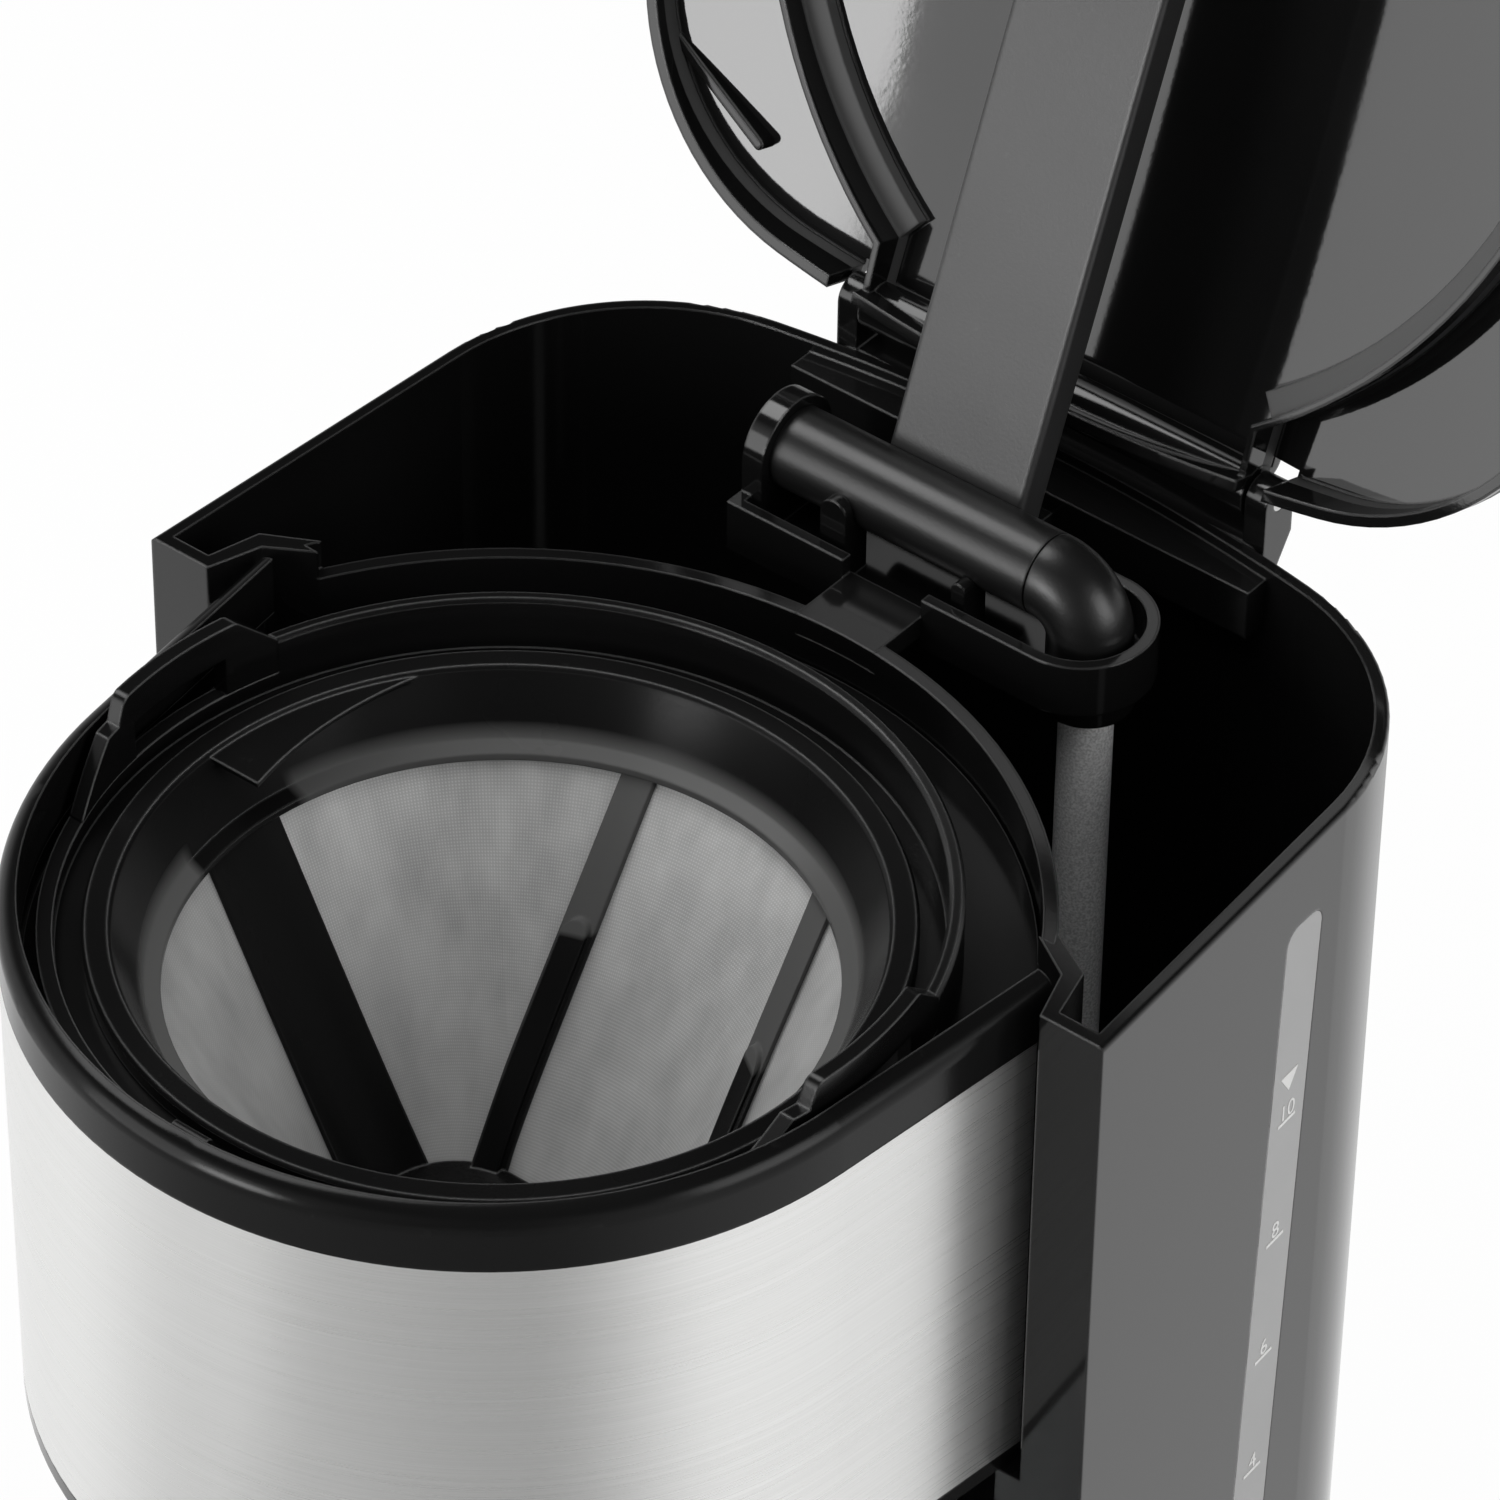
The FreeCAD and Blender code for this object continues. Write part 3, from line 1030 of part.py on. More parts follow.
def rocker_switch():
    """Rocker on a cross shaft, stored tilted to off."""
    half = BEZEL_WIDTH / 2 - BEZEL_FRAME - FIT
    tall = BEZEL_HEIGHT / 2 - BEZEL_FRAME - 4 * FIT
    pivot_y = FRONT_Y + 1
    front = FRONT_Y - BEZEL_STAND - 1
    cap = box(-half, half, front, front + ROCKER_DEPTH - 1, SWITCH_Z - tall, SWITCH_Z + tall)
    dish = rod_x(-half - 1, half + 1, front + ROCKER_DISH - ROCKER_DISH_RADIUS, SWITCH_Z, ROCKER_DISH_RADIUS)
    reach = BEZEL_WIDTH / 2 - BEZEL_FRAME + ROCKER_SHAFT_REACH
    shaft = rod_x(-reach, reach, pivot_y, SWITCH_Z, ROCKER_SHAFT)
    rocker = joined([cap.cut(dish), shaft])
    rocker.rotate(vec(0, pivot_y, SWITCH_Z), vec(1, 0, 0), -ROCKER_TILT)
    return rocker


def indicator_lens():
    """Small lamp lens beside the switch."""
    sink = BEZEL_WIDTH ** 2 / (2 * HOUSING_RADIUS)
    return rod_y(FRONT_Y + sink - 1, FRONT_Y + sink + 2 * WALL, BEZEL_WIDTH, SWITCH_Z, LENS_RADIUS)


def grip():
    """Right-hand finger grip on the basket's ring: tail and hook in front, a bar, a slope to the rear."""
    low, high = BASKET_FRONT_TOP, BASKET_TOP + GRIP_RISE
    front, rear = BREW_Y + GRIP_FRONT, BREW_Y + GRIP_REAR
    hook = front - GRIP_HOOK
    end = rear + GRIP_REAR_SLOPE
    outline = [(hook - GRIP_TAIL, low), (hook, high - GRIP_STEP), (front - GRIP_SHOULDER, high - GRIP_STEP),
               (front, high), (rear, high), (end, BASKET_TOP), (end, low)]
    through = vec(2 * BASKET_RING_RADIUS, 0, 0)
    wall = face_of(polygon([vec(0, y, z) for y, z in outline])).extrude(through)
    corners = [edge for edge in wall.Edges if edge.BoundBox.ZMin > high - FIT and edge.BoundBox.YLength < FIT]
    wall = wall.makeFillet(GRIP_ROUND, corners)
    window = box(0, through.x, front + GRIP_POST, rear - GRIP_POST, low - 1, high - GRIP_BAR)
    return wall.cut(window).common(ring(0, BREW_Y, BASKET_RING_INNER, BASKET_RING_RADIUS, low, high))


def basket_grips():
    right = grip()
    return Part.makeCompound([right, mirrored_x(right)])


def brew_basket():
    """Funnel that hangs on the shelf: low ring in front, high ring behind, drain holes, valve guard."""
    hole = VALVE_STEM_RADIUS + VALVE_CLEARANCE
    seat = SHELF_Z + FIT
    inner, outer = BASKET_RING_INNER, BASKET_RING_RADIUS
    funnel = turned([(hole, BASKET_FLOOR_Z), (BASKET_FLOOR_RADIUS, BASKET_FLOOR_Z),
                     (BASKET_LEDGE_RADIUS + BASKET_WALL, seat), (outer, seat),
                     (outer, BASKET_TOP - RING_BEVEL), (outer - RING_BEVEL, BASKET_TOP),
                     (inner + RING_BEVEL, BASKET_TOP),
                     (inner, BASKET_TOP - RING_BEVEL), (inner, BASKET_LEDGE_Z),
                     (BASKET_LEDGE_RADIUS, BASKET_LEDGE_Z),
                     (BASKET_FLOOR_RADIUS - BASKET_WALL, BASKET_FLOOR_TOP),
                     (hole, BASKET_FLOOR_TOP)], 0, BREW_Y)
    front = box(-outer - 1, outer + 1, BREW_Y - outer - 1, BREW_Y + GRIP_REAR + GRIP_REAR_SLOPE,
                BASKET_FRONT_TOP, BASKET_TOP + 1)
    guard = ring(0, BREW_Y, VALVE_GUARD_RADIUS - BASKET_WALL, VALVE_GUARD_RADIUS,
                 VALVE_KNOB_TOP, BASKET_FLOOR_Z)
    drains = []
    for index in range(DRAIN_COUNT):
        turn = 2 * math.pi * index / DRAIN_COUNT
        x, y = DRAIN_CIRCLE * math.cos(turn), BREW_Y + DRAIN_CIRCLE * math.sin(turn)
        drains.append(disc(x, y, DRAIN_RADIUS, BASKET_FLOOR_Z - 1, BASKET_FLOOR_TOP + 1))
    return joined([funnel.cut(front), guard]).cut(drains)


def drip_valve():
    """Valve with a flat head over the drains; pushing its knob up lets the coffee through."""
    head_low = BASKET_FLOOR_TOP + VALVE_SEAL
    stem = chamber(VALVE_STEM_RADIUS, VALVE_KNOB_TOP, head_low + VALVE_HEAD_HEIGHT)
    head = chamber(VALVE_HEAD_RADIUS, head_low, head_low + VALVE_HEAD_HEIGHT)
    knob = chamber(VALVE_KNOB_RADIUS, VALVE_KNOB_TOP - VALVE_KNOB_HEIGHT, VALVE_KNOB_TOP)
    return joined([stem, head, knob])


def valve_seal():
    low = BASKET_FLOOR_TOP + VALVE_CLEARANCE
    return ring(0, BREW_Y, VALVE_STEM_RADIUS, VALVE_HEAD_RADIUS, low, BASKET_FLOOR_TOP + VALVE_SEAL)


def valve_spring():
    """Return spring round the stem, between the knob and the basket's floor."""
    inner = VALVE_STEM_RADIUS + FIT
    return ring(0, BREW_Y, inner, inner + VALVE_SPRING_WALL, VALVE_KNOB_TOP, BASKET_FLOOR_Z)


def filter_wire(radius, inset, z):
    """Round outline split into four arcs, so that each meets one edge of the slot below it."""
    split = math.radians(FILTER_SPLIT)
    angles = [split, math.pi / 2, math.pi - split, math.pi, math.pi + split, 1.5 * math.pi, -split, 0.0]
    points = [vec((radius - inset) * math.cos(a), BREW_Y + (radius - inset) * math.sin(a), z) for a in angles]
    ends = [(0, 1, 2), (2, 3, 4), (4, 5, 6), (6, 7, 0)]
    return Part.Wire([arc(points[a], points[b], points[c]) for a, b, c in ends])


def slot_wire(inset, z):
    """Narrow slot at the filter's bottom: two straight edges and two round ends."""
    half = FILTER_SLOT_HALF_WIDTH - inset
    end = FILTER_SLOT_HALF_LENGTH - FILTER_SLOT_HALF_WIDTH
    rear, front = BREW_Y + half, BREW_Y - half
    edges = [line(vec(end, rear, z), vec(-end, rear, z)),
             arc(vec(-end, rear, z), vec(-end - half, BREW_Y, z), vec(-end, front, z)),
             line(vec(-end, front, z), vec(end, front, z)),
             arc(vec(end, front, z), vec(end + half, BREW_Y, z), vec(end, rear, z))]
    return Part.Wire(edges)


def filter_cone(inset):
    top = filter_wire(FILTER_SKIRT_RADIUS + FILTER_SKIRT_WALL / 2, inset, MESH_TOP)
    return Part.makeLoft([top, slot_wire(inset, MESH_BOTTOM)], True, True)


def filter_mesh():
    """Fine mesh of the permanent filter, a wedge that runs from a round mouth to a slot."""
    return filter_cone(0).cut(filter_cone(MESH_THICKNESS))


def thin_ribs(width, z1):
    """Upright blocks, round at the top, that cut the filter's thin ribs from a wedge shell."""
    reach = FILTER_RIM_RADIUS
    half = width / 2
    blocks = []
    for x in THIN_RIB_X:
        blocks.append(box(x - half, x + half, BREW_Y - reach, BREW_Y + reach, MESH_BOTTOM, z1))
        blocks.append(rod_y(BREW_Y - reach, BREW_Y + reach, x, z1, half))
    return joined(blocks)


def lifting_tab(low, high):
    """Flat tab on the inside of the filter's rim, widest at its end."""
    start, end = math.radians(TAB_START), math.radians(TAB_START + TAB_SWEEP)
    middle = (start + end) / 2
    outer = FILTER_RIM_INNER + RIB_DEPTH

    def at(radius, turn):
        return vec(radius * math.cos(turn), BREW_Y + radius * math.sin(turn))

    tip = at(FILTER_RIM_INNER - TAB_REACH, end)
    root = at(FILTER_RIM_INNER, start)
    edges = [arc(root, at(FILTER_RIM_INNER - TAB_WAIST, middle), tip), line(tip, at(outer, end)),
             arc(at(outer, end), at(outer, middle), at(outer, start)), line(at(outer, start), root)]
    return prism(Part.Wire(edges), low, high)


def filter_frame():
    """Moulded frame of the filter: flat rim, sloped skirt, ribs, bottom bar and a lifting tab."""
    low = FILTER_TOP - FILTER_RIM_HEIGHT
    skirt = FILTER_SKIRT_RADIUS
    rim = turned([(FILTER_RIM_INNER + RING_BEVEL, FILTER_TOP), (FILTER_RIM_RADIUS - RING_BEVEL, FILTER_TOP),
                  (FILTER_RIM_RADIUS, FILTER_TOP - RING_BEVEL), (FILTER_RIM_RADIUS, low),
                  (FILTER_RIM_INNER + FILTER_SKIRT_WALL, low), (skirt + FILTER_SKIRT_WALL, MESH_TOP),
                  (skirt - 2 * RIB_DEPTH, MESH_TOP), (skirt - 2 * RIB_DEPTH, MESH_TOP + RIB_DEPTH),
                  (skirt, MESH_TOP + 2 * RIB_DEPTH), (FILTER_RIM_INNER, FILTER_TOP - RING_BEVEL)], 0, BREW_Y)
    inner = filter_cone(MESH_THICKNESS + RIB_DEPTH)
    side_ribs = box(-FILTER_RIM_RADIUS, FILTER_RIM_RADIUS, BREW_Y - WIDE_RIB / 2, BREW_Y + WIDE_RIB / 2,
                    MESH_BOTTOM, MESH_TOP)
    ribs = filter_cone(MESH_THICKNESS).cut(inner).common(joined([side_ribs, thin_ribs(THIN_RIB, MESH_TOP)]))
    feet = inner.cut(filter_cone(MESH_THICKNESS + 2 * RIB_DEPTH))
    feet = feet.common(thin_ribs(THIN_RIB - RIB_DEPTH, MESH_BOTTOM + RIB_FOOT_HEIGHT))
    bottom = prism(slot_wire(MESH_THICKNESS, 0), MESH_BOTTOM, MESH_BOTTOM + FILTER_BOTTOM)
    bottom = bottom.common(filter_cone(MESH_THICKNESS))
    tab = lifting_tab(FILTER_TOP - FILTER_RIM_HEIGHT / 2, FILTER_TOP - RING_BEVEL)
    return joined([rim, ribs, feet, bottom, tab])


def carafe_block(inset, top):
    """Solid of revolution of the carafe, moved in by inset."""
    low = GLASS_Z + inset
    foot = vec(CARAFE_FOOT_RADIUS - CARAFE_FOOT_ROUND, BREW_Y, low)
    slant = CARAFE_FOOT_ROUND * math.sqrt(0.5)
    bottom = CARAFE_FOOT_RADIUS - inset - CARAFE_FOOT_ROUND
    corner = vec(bottom + slant, BREW_Y, low + CARAFE_FOOT_ROUND - slant)
    start = vec(CARAFE_FOOT_RADIUS - inset, BREW_Y, low + CARAFE_FOOT_ROUND)
    belly = vec(CARAFE_RADIUS - inset, BREW_Y, GLASS_Z + CARAFE_BELLY_RISE)
    neck = vec(CARAFE_NECK_RADIUS - inset, BREW_Y, GLASS_Z + CARAFE_NECK_RISE)
    mouth = vec(CARAFE_NECK_RADIUS - inset + CARAFE_WALL, BREW_Y, top)
    axis_low, axis_high = vec(0, BREW_Y, low), vec(0, BREW_Y, top)
    edges = [line(axis_low, foot), arc(foot, corner, start), spline_arc(start, belly, neck),
             line(neck, mouth), line(mouth, axis_high), line(axis_high, axis_low)]
    return face_of(Part.Wire(edges)).revolve(vec(0, BREW_Y, 0), UP, 360)


def carafe_glass():
    return carafe_block(0, GLASS_TOP).cut(carafe_block(CARAFE_WALL, GLASS_TOP))


def band_tongue():
    """Tongue of the collar band that the handle slides over."""
    reach = CARAFE_NECK_RADIUS + CARAFE_WALL + BAND_THICKNESS
    half = HANDLE_WIDTH / 2 - HANDLE_THICKNESS / 4
    middle = BAND_TOP - BAND_HEIGHT / 2
    return box(-half, half, BREW_Y - reach - HANDLE_THICKNESS, BREW_Y - CARAFE_NECK_RADIUS,
               middle - BAND_THICKNESS, middle + BAND_THICKNESS)


def band_ring():
    reach = CARAFE_NECK_RADIUS + CARAFE_WALL + BAND_THICKNESS
    return chamber(reach, BAND_TOP - BAND_HEIGHT, BAND_TOP)


def carafe_band():
    """Collar clamped round the carafe's neck."""
    return joined([band_ring(), band_tongue()]).cut(carafe_block(0, GLASS_TOP))


def handle_screw_place():
    return BREW_Y - CARAFE_NECK_RADIUS - CARAFE_WALL - BAND_THICKNESS - HANDLE_THICKNESS / 2


def handle_outline():
    """Side view of the handle: out from the band, a round shoulder, and a grip with a round end."""
    outer = BREW_Y - HANDLE_REACH
    inner = outer + HANDLE_THICKNESS
    band = BREW_Y - CARAFE_NECK_RADIUS
    low = BAND_TOP - HANDLE_DROP + HANDLE_THICKNESS / 2
    under = BAND_TOP - BAND_HEIGHT
    shoulder, armpit = HANDLE_ROUND, HANDLE_ARMPIT
    slant = 1 - math.sqrt(0.5)

    def point(y, z):
        return vec(-HANDLE_WIDTH / 2, y, z)

    top_in, top_out = point(band, BAND_TOP), point(outer + shoulder, BAND_TOP)
    back_high, back_low = point(outer, BAND_TOP - shoulder), point(outer + HANDLE_LEAN, low)
    end = point((outer + inner) / 2 + HANDLE_LEAN, low - HANDLE_THICKNESS / 2)
    front_low, front_high = point(inner + HANDLE_LEAN, low), point(inner, under - armpit)
    under_out, under_in = point(inner + armpit, under), point(band, under)
    edges = [line(top_in, top_out),
             arc(top_out, point(outer + shoulder * slant, BAND_TOP - shoulder * slant), back_high),
             line(back_high, back_low), arc(back_low, end, front_low), line(front_low, front_high),
             arc(front_high, point(inner + armpit * slant, under - armpit * slant), under_out),
             line(under_out, under_in), line(under_in, top_in)]
    return Part.Wire(edges)


def carafe_handle():
    """Handle with an open loop, screwed to the band's tongue."""
    handle = face_of(handle_outline()).extrude(vec(HANDLE_WIDTH, 0, 0))
    sides = [edge for edge in handle.Edges if edge.BoundBox.XLength < FIT]
    handle = handle.makeFillet(HANDLE_EDGE, sides)
    screw = disc(0, handle_screw_place(), HANDLE_SCREW_RADIUS, BAND_TOP - BAND_HEIGHT / 2, BAND_TOP + 1)
    return less(handle, band_ring(), band_tongue(), screw)


def handle_screw():
    middle = BAND_TOP - BAND_HEIGHT / 2 + BAND_THICKNESS
    return disc(0, handle_screw_place(), HANDLE_SCREW_RADIUS, middle, BAND_TOP)


def carafe_lid():
    """Twist-lock lid with a plug in the mouth, a drip hole and a thumb wing over the handle."""
    low = GLASS_TOP + FIT
    high = low + LID_DISC_HEIGHT
    plate = chamber(CARAFE_NECK_RADIUS + CARAFE_WALL, low, high)
    plug = chamber(CARAFE_NECK_RADIUS - 2 * CARAFE_WALL, low - LID_PLUG_DEPTH, high)
    room = chamber(CARAFE_NECK_RADIUS - 3 * CARAFE_WALL, low - LID_PLUG_DEPTH - 1, high - CARAFE_WALL)
    wing = box(-LID_WING, LID_WING, handle_screw_place() - LID_WING, BREW_Y - CARAFE_NECK_RADIUS / 2,
               low, high)
    drip = chamber(LID_DRIP_RADIUS, low - 1, high + 1)
    return less(joined([plate, plug, wing]), room, drip)


PIECES = {
    "base_shell": base_shell, "pedestal": pedestal, "bottom_cover": bottom_cover,
    "cover_screws": cover_screws, "rubber_feet": rubber_feet,
    "hot_plate": hot_plate, "hot_plate_seal": hot_plate_seal, "heating_element": heating_element,
    "heater_bracket": heater_bracket, "thermostat": thermostat, "thermal_fuse": thermal_fuse,
    "terminal_block": terminal_block, "cord_gland": cord_gland,
    "switch_bezel": switch_bezel, "rocker_switch": rocker_switch, "indicator_lens": indicator_lens,
    "rear_tank": rear_tank, "water_window": lambda: window_strip(0), "hinge_pins": hinge_pins,
    "brew_housing": brew_housing, "basket_shelf": basket_shelf, "rim_band": rim_band,
    "steel_wrap": steel_wrap,
    "tube_saddle": tube_saddle, "outlet_elbow": outlet_elbow, "tube_o_ring": tube_o_ring,
    "riser_hose": riser_hose, "inlet_hose": inlet_hose, "hose_grommet": hose_grommet,
    "check_valve": check_valve, "check_ball": check_ball,
    "lid_shell": lid_shell,
    "outlet_tube": outlet_tube, "tube_end_cap": tube_end_cap, "spout_arm": spout_arm,
    "shower_head": shower_head,
    "brew_basket": brew_basket, "basket_grips": basket_grips, "valve_spring": valve_spring,
    "drip_valve": drip_valve, "valve_seal": valve_seal,
    "filter_frame": filter_frame, "filter_mesh": filter_mesh,
    "carafe_glass": carafe_glass, "carafe_band": carafe_band, "carafe_handle": carafe_handle,
    "handle_screw": handle_screw, "carafe_lid": carafe_lid,
}

os.makedirs("parts", exist_ok=True)
for node, make in PIECES.items():
    make().exportStep("parts/" + node + ".step")
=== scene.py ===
import json
import math

import bmesh
import bpy
from mathutils import Matrix, Vector


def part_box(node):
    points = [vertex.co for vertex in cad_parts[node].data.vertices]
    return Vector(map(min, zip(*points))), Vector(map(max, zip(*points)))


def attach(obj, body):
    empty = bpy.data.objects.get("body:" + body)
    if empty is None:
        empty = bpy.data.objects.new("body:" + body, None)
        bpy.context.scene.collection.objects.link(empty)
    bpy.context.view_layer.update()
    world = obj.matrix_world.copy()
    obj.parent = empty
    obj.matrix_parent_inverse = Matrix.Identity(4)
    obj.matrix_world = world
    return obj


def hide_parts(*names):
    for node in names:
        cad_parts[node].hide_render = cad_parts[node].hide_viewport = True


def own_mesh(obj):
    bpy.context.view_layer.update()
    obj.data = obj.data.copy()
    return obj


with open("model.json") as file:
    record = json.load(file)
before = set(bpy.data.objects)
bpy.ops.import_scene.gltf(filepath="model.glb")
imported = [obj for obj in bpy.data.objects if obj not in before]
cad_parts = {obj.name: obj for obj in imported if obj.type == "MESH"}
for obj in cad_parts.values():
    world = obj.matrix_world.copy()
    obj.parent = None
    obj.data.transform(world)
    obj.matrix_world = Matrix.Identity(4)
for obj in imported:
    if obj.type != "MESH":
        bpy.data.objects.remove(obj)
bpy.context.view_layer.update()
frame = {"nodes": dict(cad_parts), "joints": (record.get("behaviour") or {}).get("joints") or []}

nodes = frame["nodes"]


# Base shell with its pedestal, bottom cover and switch frame: injection-moulded black plastic, screwed
# together from below. The outside is glossy, with the faint ripple, rounded edges and fine dust of such
# mouldings, and the cover is satin.

def blank_material(name):
    """Material with one Principled BSDF; returns it with its node tree and that shader."""
    material = bpy.data.materials.new(name)
    material.use_nodes = True
    tree = material.node_tree
    tree.nodes.clear()
    output = tree.nodes.new("ShaderNodeOutputMaterial")
    shader = tree.nodes.new("ShaderNodeBsdfPrincipled")
    tree.links.new(shader.outputs["BSDF"], output.inputs["Surface"])
    return material, tree, shader


def feed(tree, entry, term):
    """Links a socket to an input, or sets the input to a plain value; a colour is given as R, G and B."""
    if isinstance(term, bpy.types.NodeSocket):
        tree.links.new(term, entry)
    elif entry.type == "RGBA":
        entry.default_value = (*term, 1.0)
    else:
        entry.default_value = term


def paint(tree, node, looks):
    """Feeds a node's named inputs with sockets or values."""
    for name, term in looks.items():
        feed(tree, node.inputs[name], term)


def object_coordinates(tree, scale=(1.0, 1.0, 1.0), shift=(0.0, 0.0, 0.0)):
    """Object coordinates in metres, scaled and then shifted."""
    place = tree.nodes.new("ShaderNodeTexCoord")
    mapping = tree.nodes.new("ShaderNodeMapping")
    mapping.inputs["Scale"].default_value = scale
    mapping.inputs["Location"].default_value = shift
    tree.links.new(place.outputs["Object"], mapping.inputs["Vector"])
    return mapping.outputs["Vector"]


def noise(tree, vector, scale, detail, roughness=0.5):
    """Value of a noise texture at a vector."""
    texture = tree.nodes.new("ShaderNodeTexNoise")
    paint(tree, texture, {"Vector": vector, "Scale": scale, "Detail": detail, "Roughness": roughness})
    return texture.outputs["Fac"]


def axes(tree, vector):
    """The X, Y and Z outputs of a vector."""
    split = tree.nodes.new("ShaderNodeSeparateXYZ")
    tree.links.new(vector, split.inputs["Vector"])
    return split.outputs


def combine(tree, operation, *terms):
    """Result of a math node on one to three sockets or numbers."""
    node = tree.nodes.new("ShaderNodeMath")
    node.operation = operation
    for entry, term in zip(node.inputs, terms):
        feed(tree, entry, term)
    return node.outputs["Value"]


def rise(tree, value, start, end, low=0.0, high=1.0):
    """Goes from low where the value is start to high where it is end, and is level outside them."""
    slope = tree.nodes.new("ShaderNodeMapRange")
    paint(tree, slope, {"Value": value, "From Min": start, "From Max": end, "To Min": low, "To Max": high})
    return slope.outputs["Result"]


def mix_colours(tree, share, first, second):
    """Colour that goes from first to second as the share goes from 0 to 1."""
    mixer = tree.nodes.new("ShaderNodeMix")
    mixer.data_type = "RGBA"
    paint(tree, mixer, {"Factor": share, "A": first, "B": second})
    return mixer.outputs["Result"]


def relief(tree, height, strength, distance=0.0002, normal=None):
    """Normal roughened by a height."""
    bump = tree.nodes.new("ShaderNodeBump")
    bump.inputs["Strength"].default_value = strength
    bump.inputs["Distance"].default_value = distance
    tree.links.new(height, bump.inputs["Height"])
    if normal is not None:
        tree.links.new(normal, bump.inputs["Normal"])
    return bump.outputs["Normal"]


def build_moulded_grain():
    """Node group for moulded plastic: slow cloudiness, fine grain, and specks of dust."""
    cloud_scale, speck_scale, cloud_weight = 18.0, 420.0, 0.35
    group = bpy.data.node_groups.new("moulded_grain", "ShaderNodeTree")
    group.interface.new_socket("Vector", in_out="INPUT", socket_type="NodeSocketVector")
    for name in ("Grain", "Low Roughness", "High Roughness", "Dust"):
        group.interface.new_socket(name, in_out="INPUT", socket_type="NodeSocketFloat")
    for name in ("Shade", "Roughness", "Height"):
        group.interface.new_socket(name, in_out="OUTPUT", socket_type="NodeSocketFloat")
    given = group.nodes.new("NodeGroupInput").outputs
    leave = group.nodes.new("NodeGroupOutput")
    cloud = noise(group, given["Vector"], scale=cloud_scale, detail=5.0)
    specks = noise(group, given["Vector"], scale=speck_scale, detail=2.0)
    dust = combine(group, "MULTIPLY", rise(group, specks, start=0.7, end=0.82), given["Dust"])
    paint(group, leave, {
        "Shade": combine(group, "MULTIPLY_ADD", cloud, cloud_weight, dust),
        "Roughness": rise(group, cloud, start=0.3, end=0.7, low=given["Low Roughness"],
                          high=given["High Roughness"]),
        "Height": noise(group, given["Vector"], scale=given["Grain"], detail=3.0)})
    return group


def build_soft_edges():
    """Node group for moulded edges: a normal rounded over each edge, and a mask of the upward edges, where a
    paler highlight is painted.
    """
    flat_face, sharp_edge = 0.97, 0.76
    side_tilt, top_tilt = 0.35, 0.85
    group = bpy.data.node_groups.new("soft_edges", "ShaderNodeTree")
    group.interface.new_socket("Radius", in_out="INPUT", socket_type="NodeSocketFloat")
    group.interface.new_socket("Normal", in_out="OUTPUT", socket_type="NodeSocketVector")
    group.interface.new_socket("Mask", in_out="OUTPUT", socket_type="NodeSocketFloat")
    given = group.nodes.new("NodeGroupInput").outputs
    leave = group.nodes.new("NodeGroupOutput")
    bevel = group.nodes.new("ShaderNodeBevel")
    bevel.samples = 4
    group.links.new(given["Radius"], bevel.inputs["Radius"])
    rounded = bevel.outputs["Normal"]
    face = group.nodes.new("ShaderNodeNewGeometry")
    agree = group.nodes.new("ShaderNodeVectorMath")
    agree.operation = "DOT_PRODUCT"
    group.links.new(rounded, agree.inputs[0])
    group.links.new(face.outputs["Normal"], agree.inputs[1])
    # The edge mask, kept to edges that face up, marks where a paler highlight is painted on the lit tops of
    # the edges.
    edge_highlight = rise(group, agree.outputs["Value"], flat_face, sharp_edge)
    upward = rise(group, axes(group, rounded)["Z"], side_tilt, top_tilt)
    paint(group, leave, {"Normal": rounded, "Mask": combine(group, "MULTIPLY", edge_highlight, upward)})
    return group


moulded_grain = build_moulded_grain()
soft_edges = build_soft_edges()


def moulded_plastic(name, dark, light, roughness, grain=900.0, depth=0.05, edge=0.0006, edge_highlight=0.0, sheen=0.5):
    """Moulded plastic between two colours, with grain, cloudy gloss, dust and rounded edges; upward edges get
    a painted highlight.
    """
    material, tree, shader = blank_material(name)
    grainy = tree.nodes.new("ShaderNodeGroup")
    grainy.node_tree = moulded_grain
    paint(tree, grainy, {"Vector": object_coordinates(tree), "Grain": grain, "Low Roughness": roughness[0],
                         "High Roughness": roughness[1], "Dust": 0.4})
    edges = tree.nodes.new("ShaderNodeGroup")
    edges.node_tree = soft_edges
    edges.inputs["Radius"].default_value = edge
    surface = mix_colours(tree, grainy.outputs["Shade"], dark, light)
    # The light colour, lifted by the edge amount, is painted on the upward edges as a highlight.
    highlight_colour = [level + edge_highlight for level in light]
    paint(tree, shader, {
        "Base Color": mix_colours(tree, edges.outputs["Mask"], surface, highlight_colour),
        "Roughness": grainy.outputs["Roughness"],
        "Normal": relief(tree, grainy.outputs["Height"], depth, normal=edges.outputs["Normal"]),
        "Specular IOR Level": sheen})
    return material


def dress(material, *names):
    """Gives CAD nodes one material in all their slots."""
    for name in names:
        node = nodes[name]
        node.data.materials.clear()
        node.data.materials.append(material)


# The edge amount of each plastic below paints a paler highlight on its upward edges.
black_low, black_high = (0.004, 0.004, 0.004), (0.012, 0.012, 0.012)
gloss_black = moulded_plastic("gloss_black_abs", black_low, black_high, roughness=(0.07, 0.13), depth=0.015,
                              edge_highlight=0.08)
satin_black = moulded_plastic("satin_black_pp", black_low, black_high, roughness=(0.16, 0.26), grain=1400.0,
                              edge_highlight=0.18, sheen=0.3)
dress(gloss_black, "base_shell", "pedestal", "switch_bezel")
dress(satin_black, "bottom_cover")


# Rubber feet, hose grommet, cord gland, plate seal, O-ring and valve seal: matt black rubber, moulded under
# pressure, then pushed or glued into place.

rubber = moulded_plastic("black_rubber", (0.012, 0.012, 0.012), (0.035, 0.034, 0.033),
                         roughness=(0.6, 0.8), grain=2200.0, depth=0.3)
dress(rubber, "rubber_feet", "hose_grommet", "cord_gland", "hot_plate_seal", "tube_o_ring", "valve_seal")


# Hot plate: a pressed steel disc with a dark non-stick coating, seated in its rubber seal over the heater.
# The coating is sprayed on and baked, which leaves it faintly speckled.

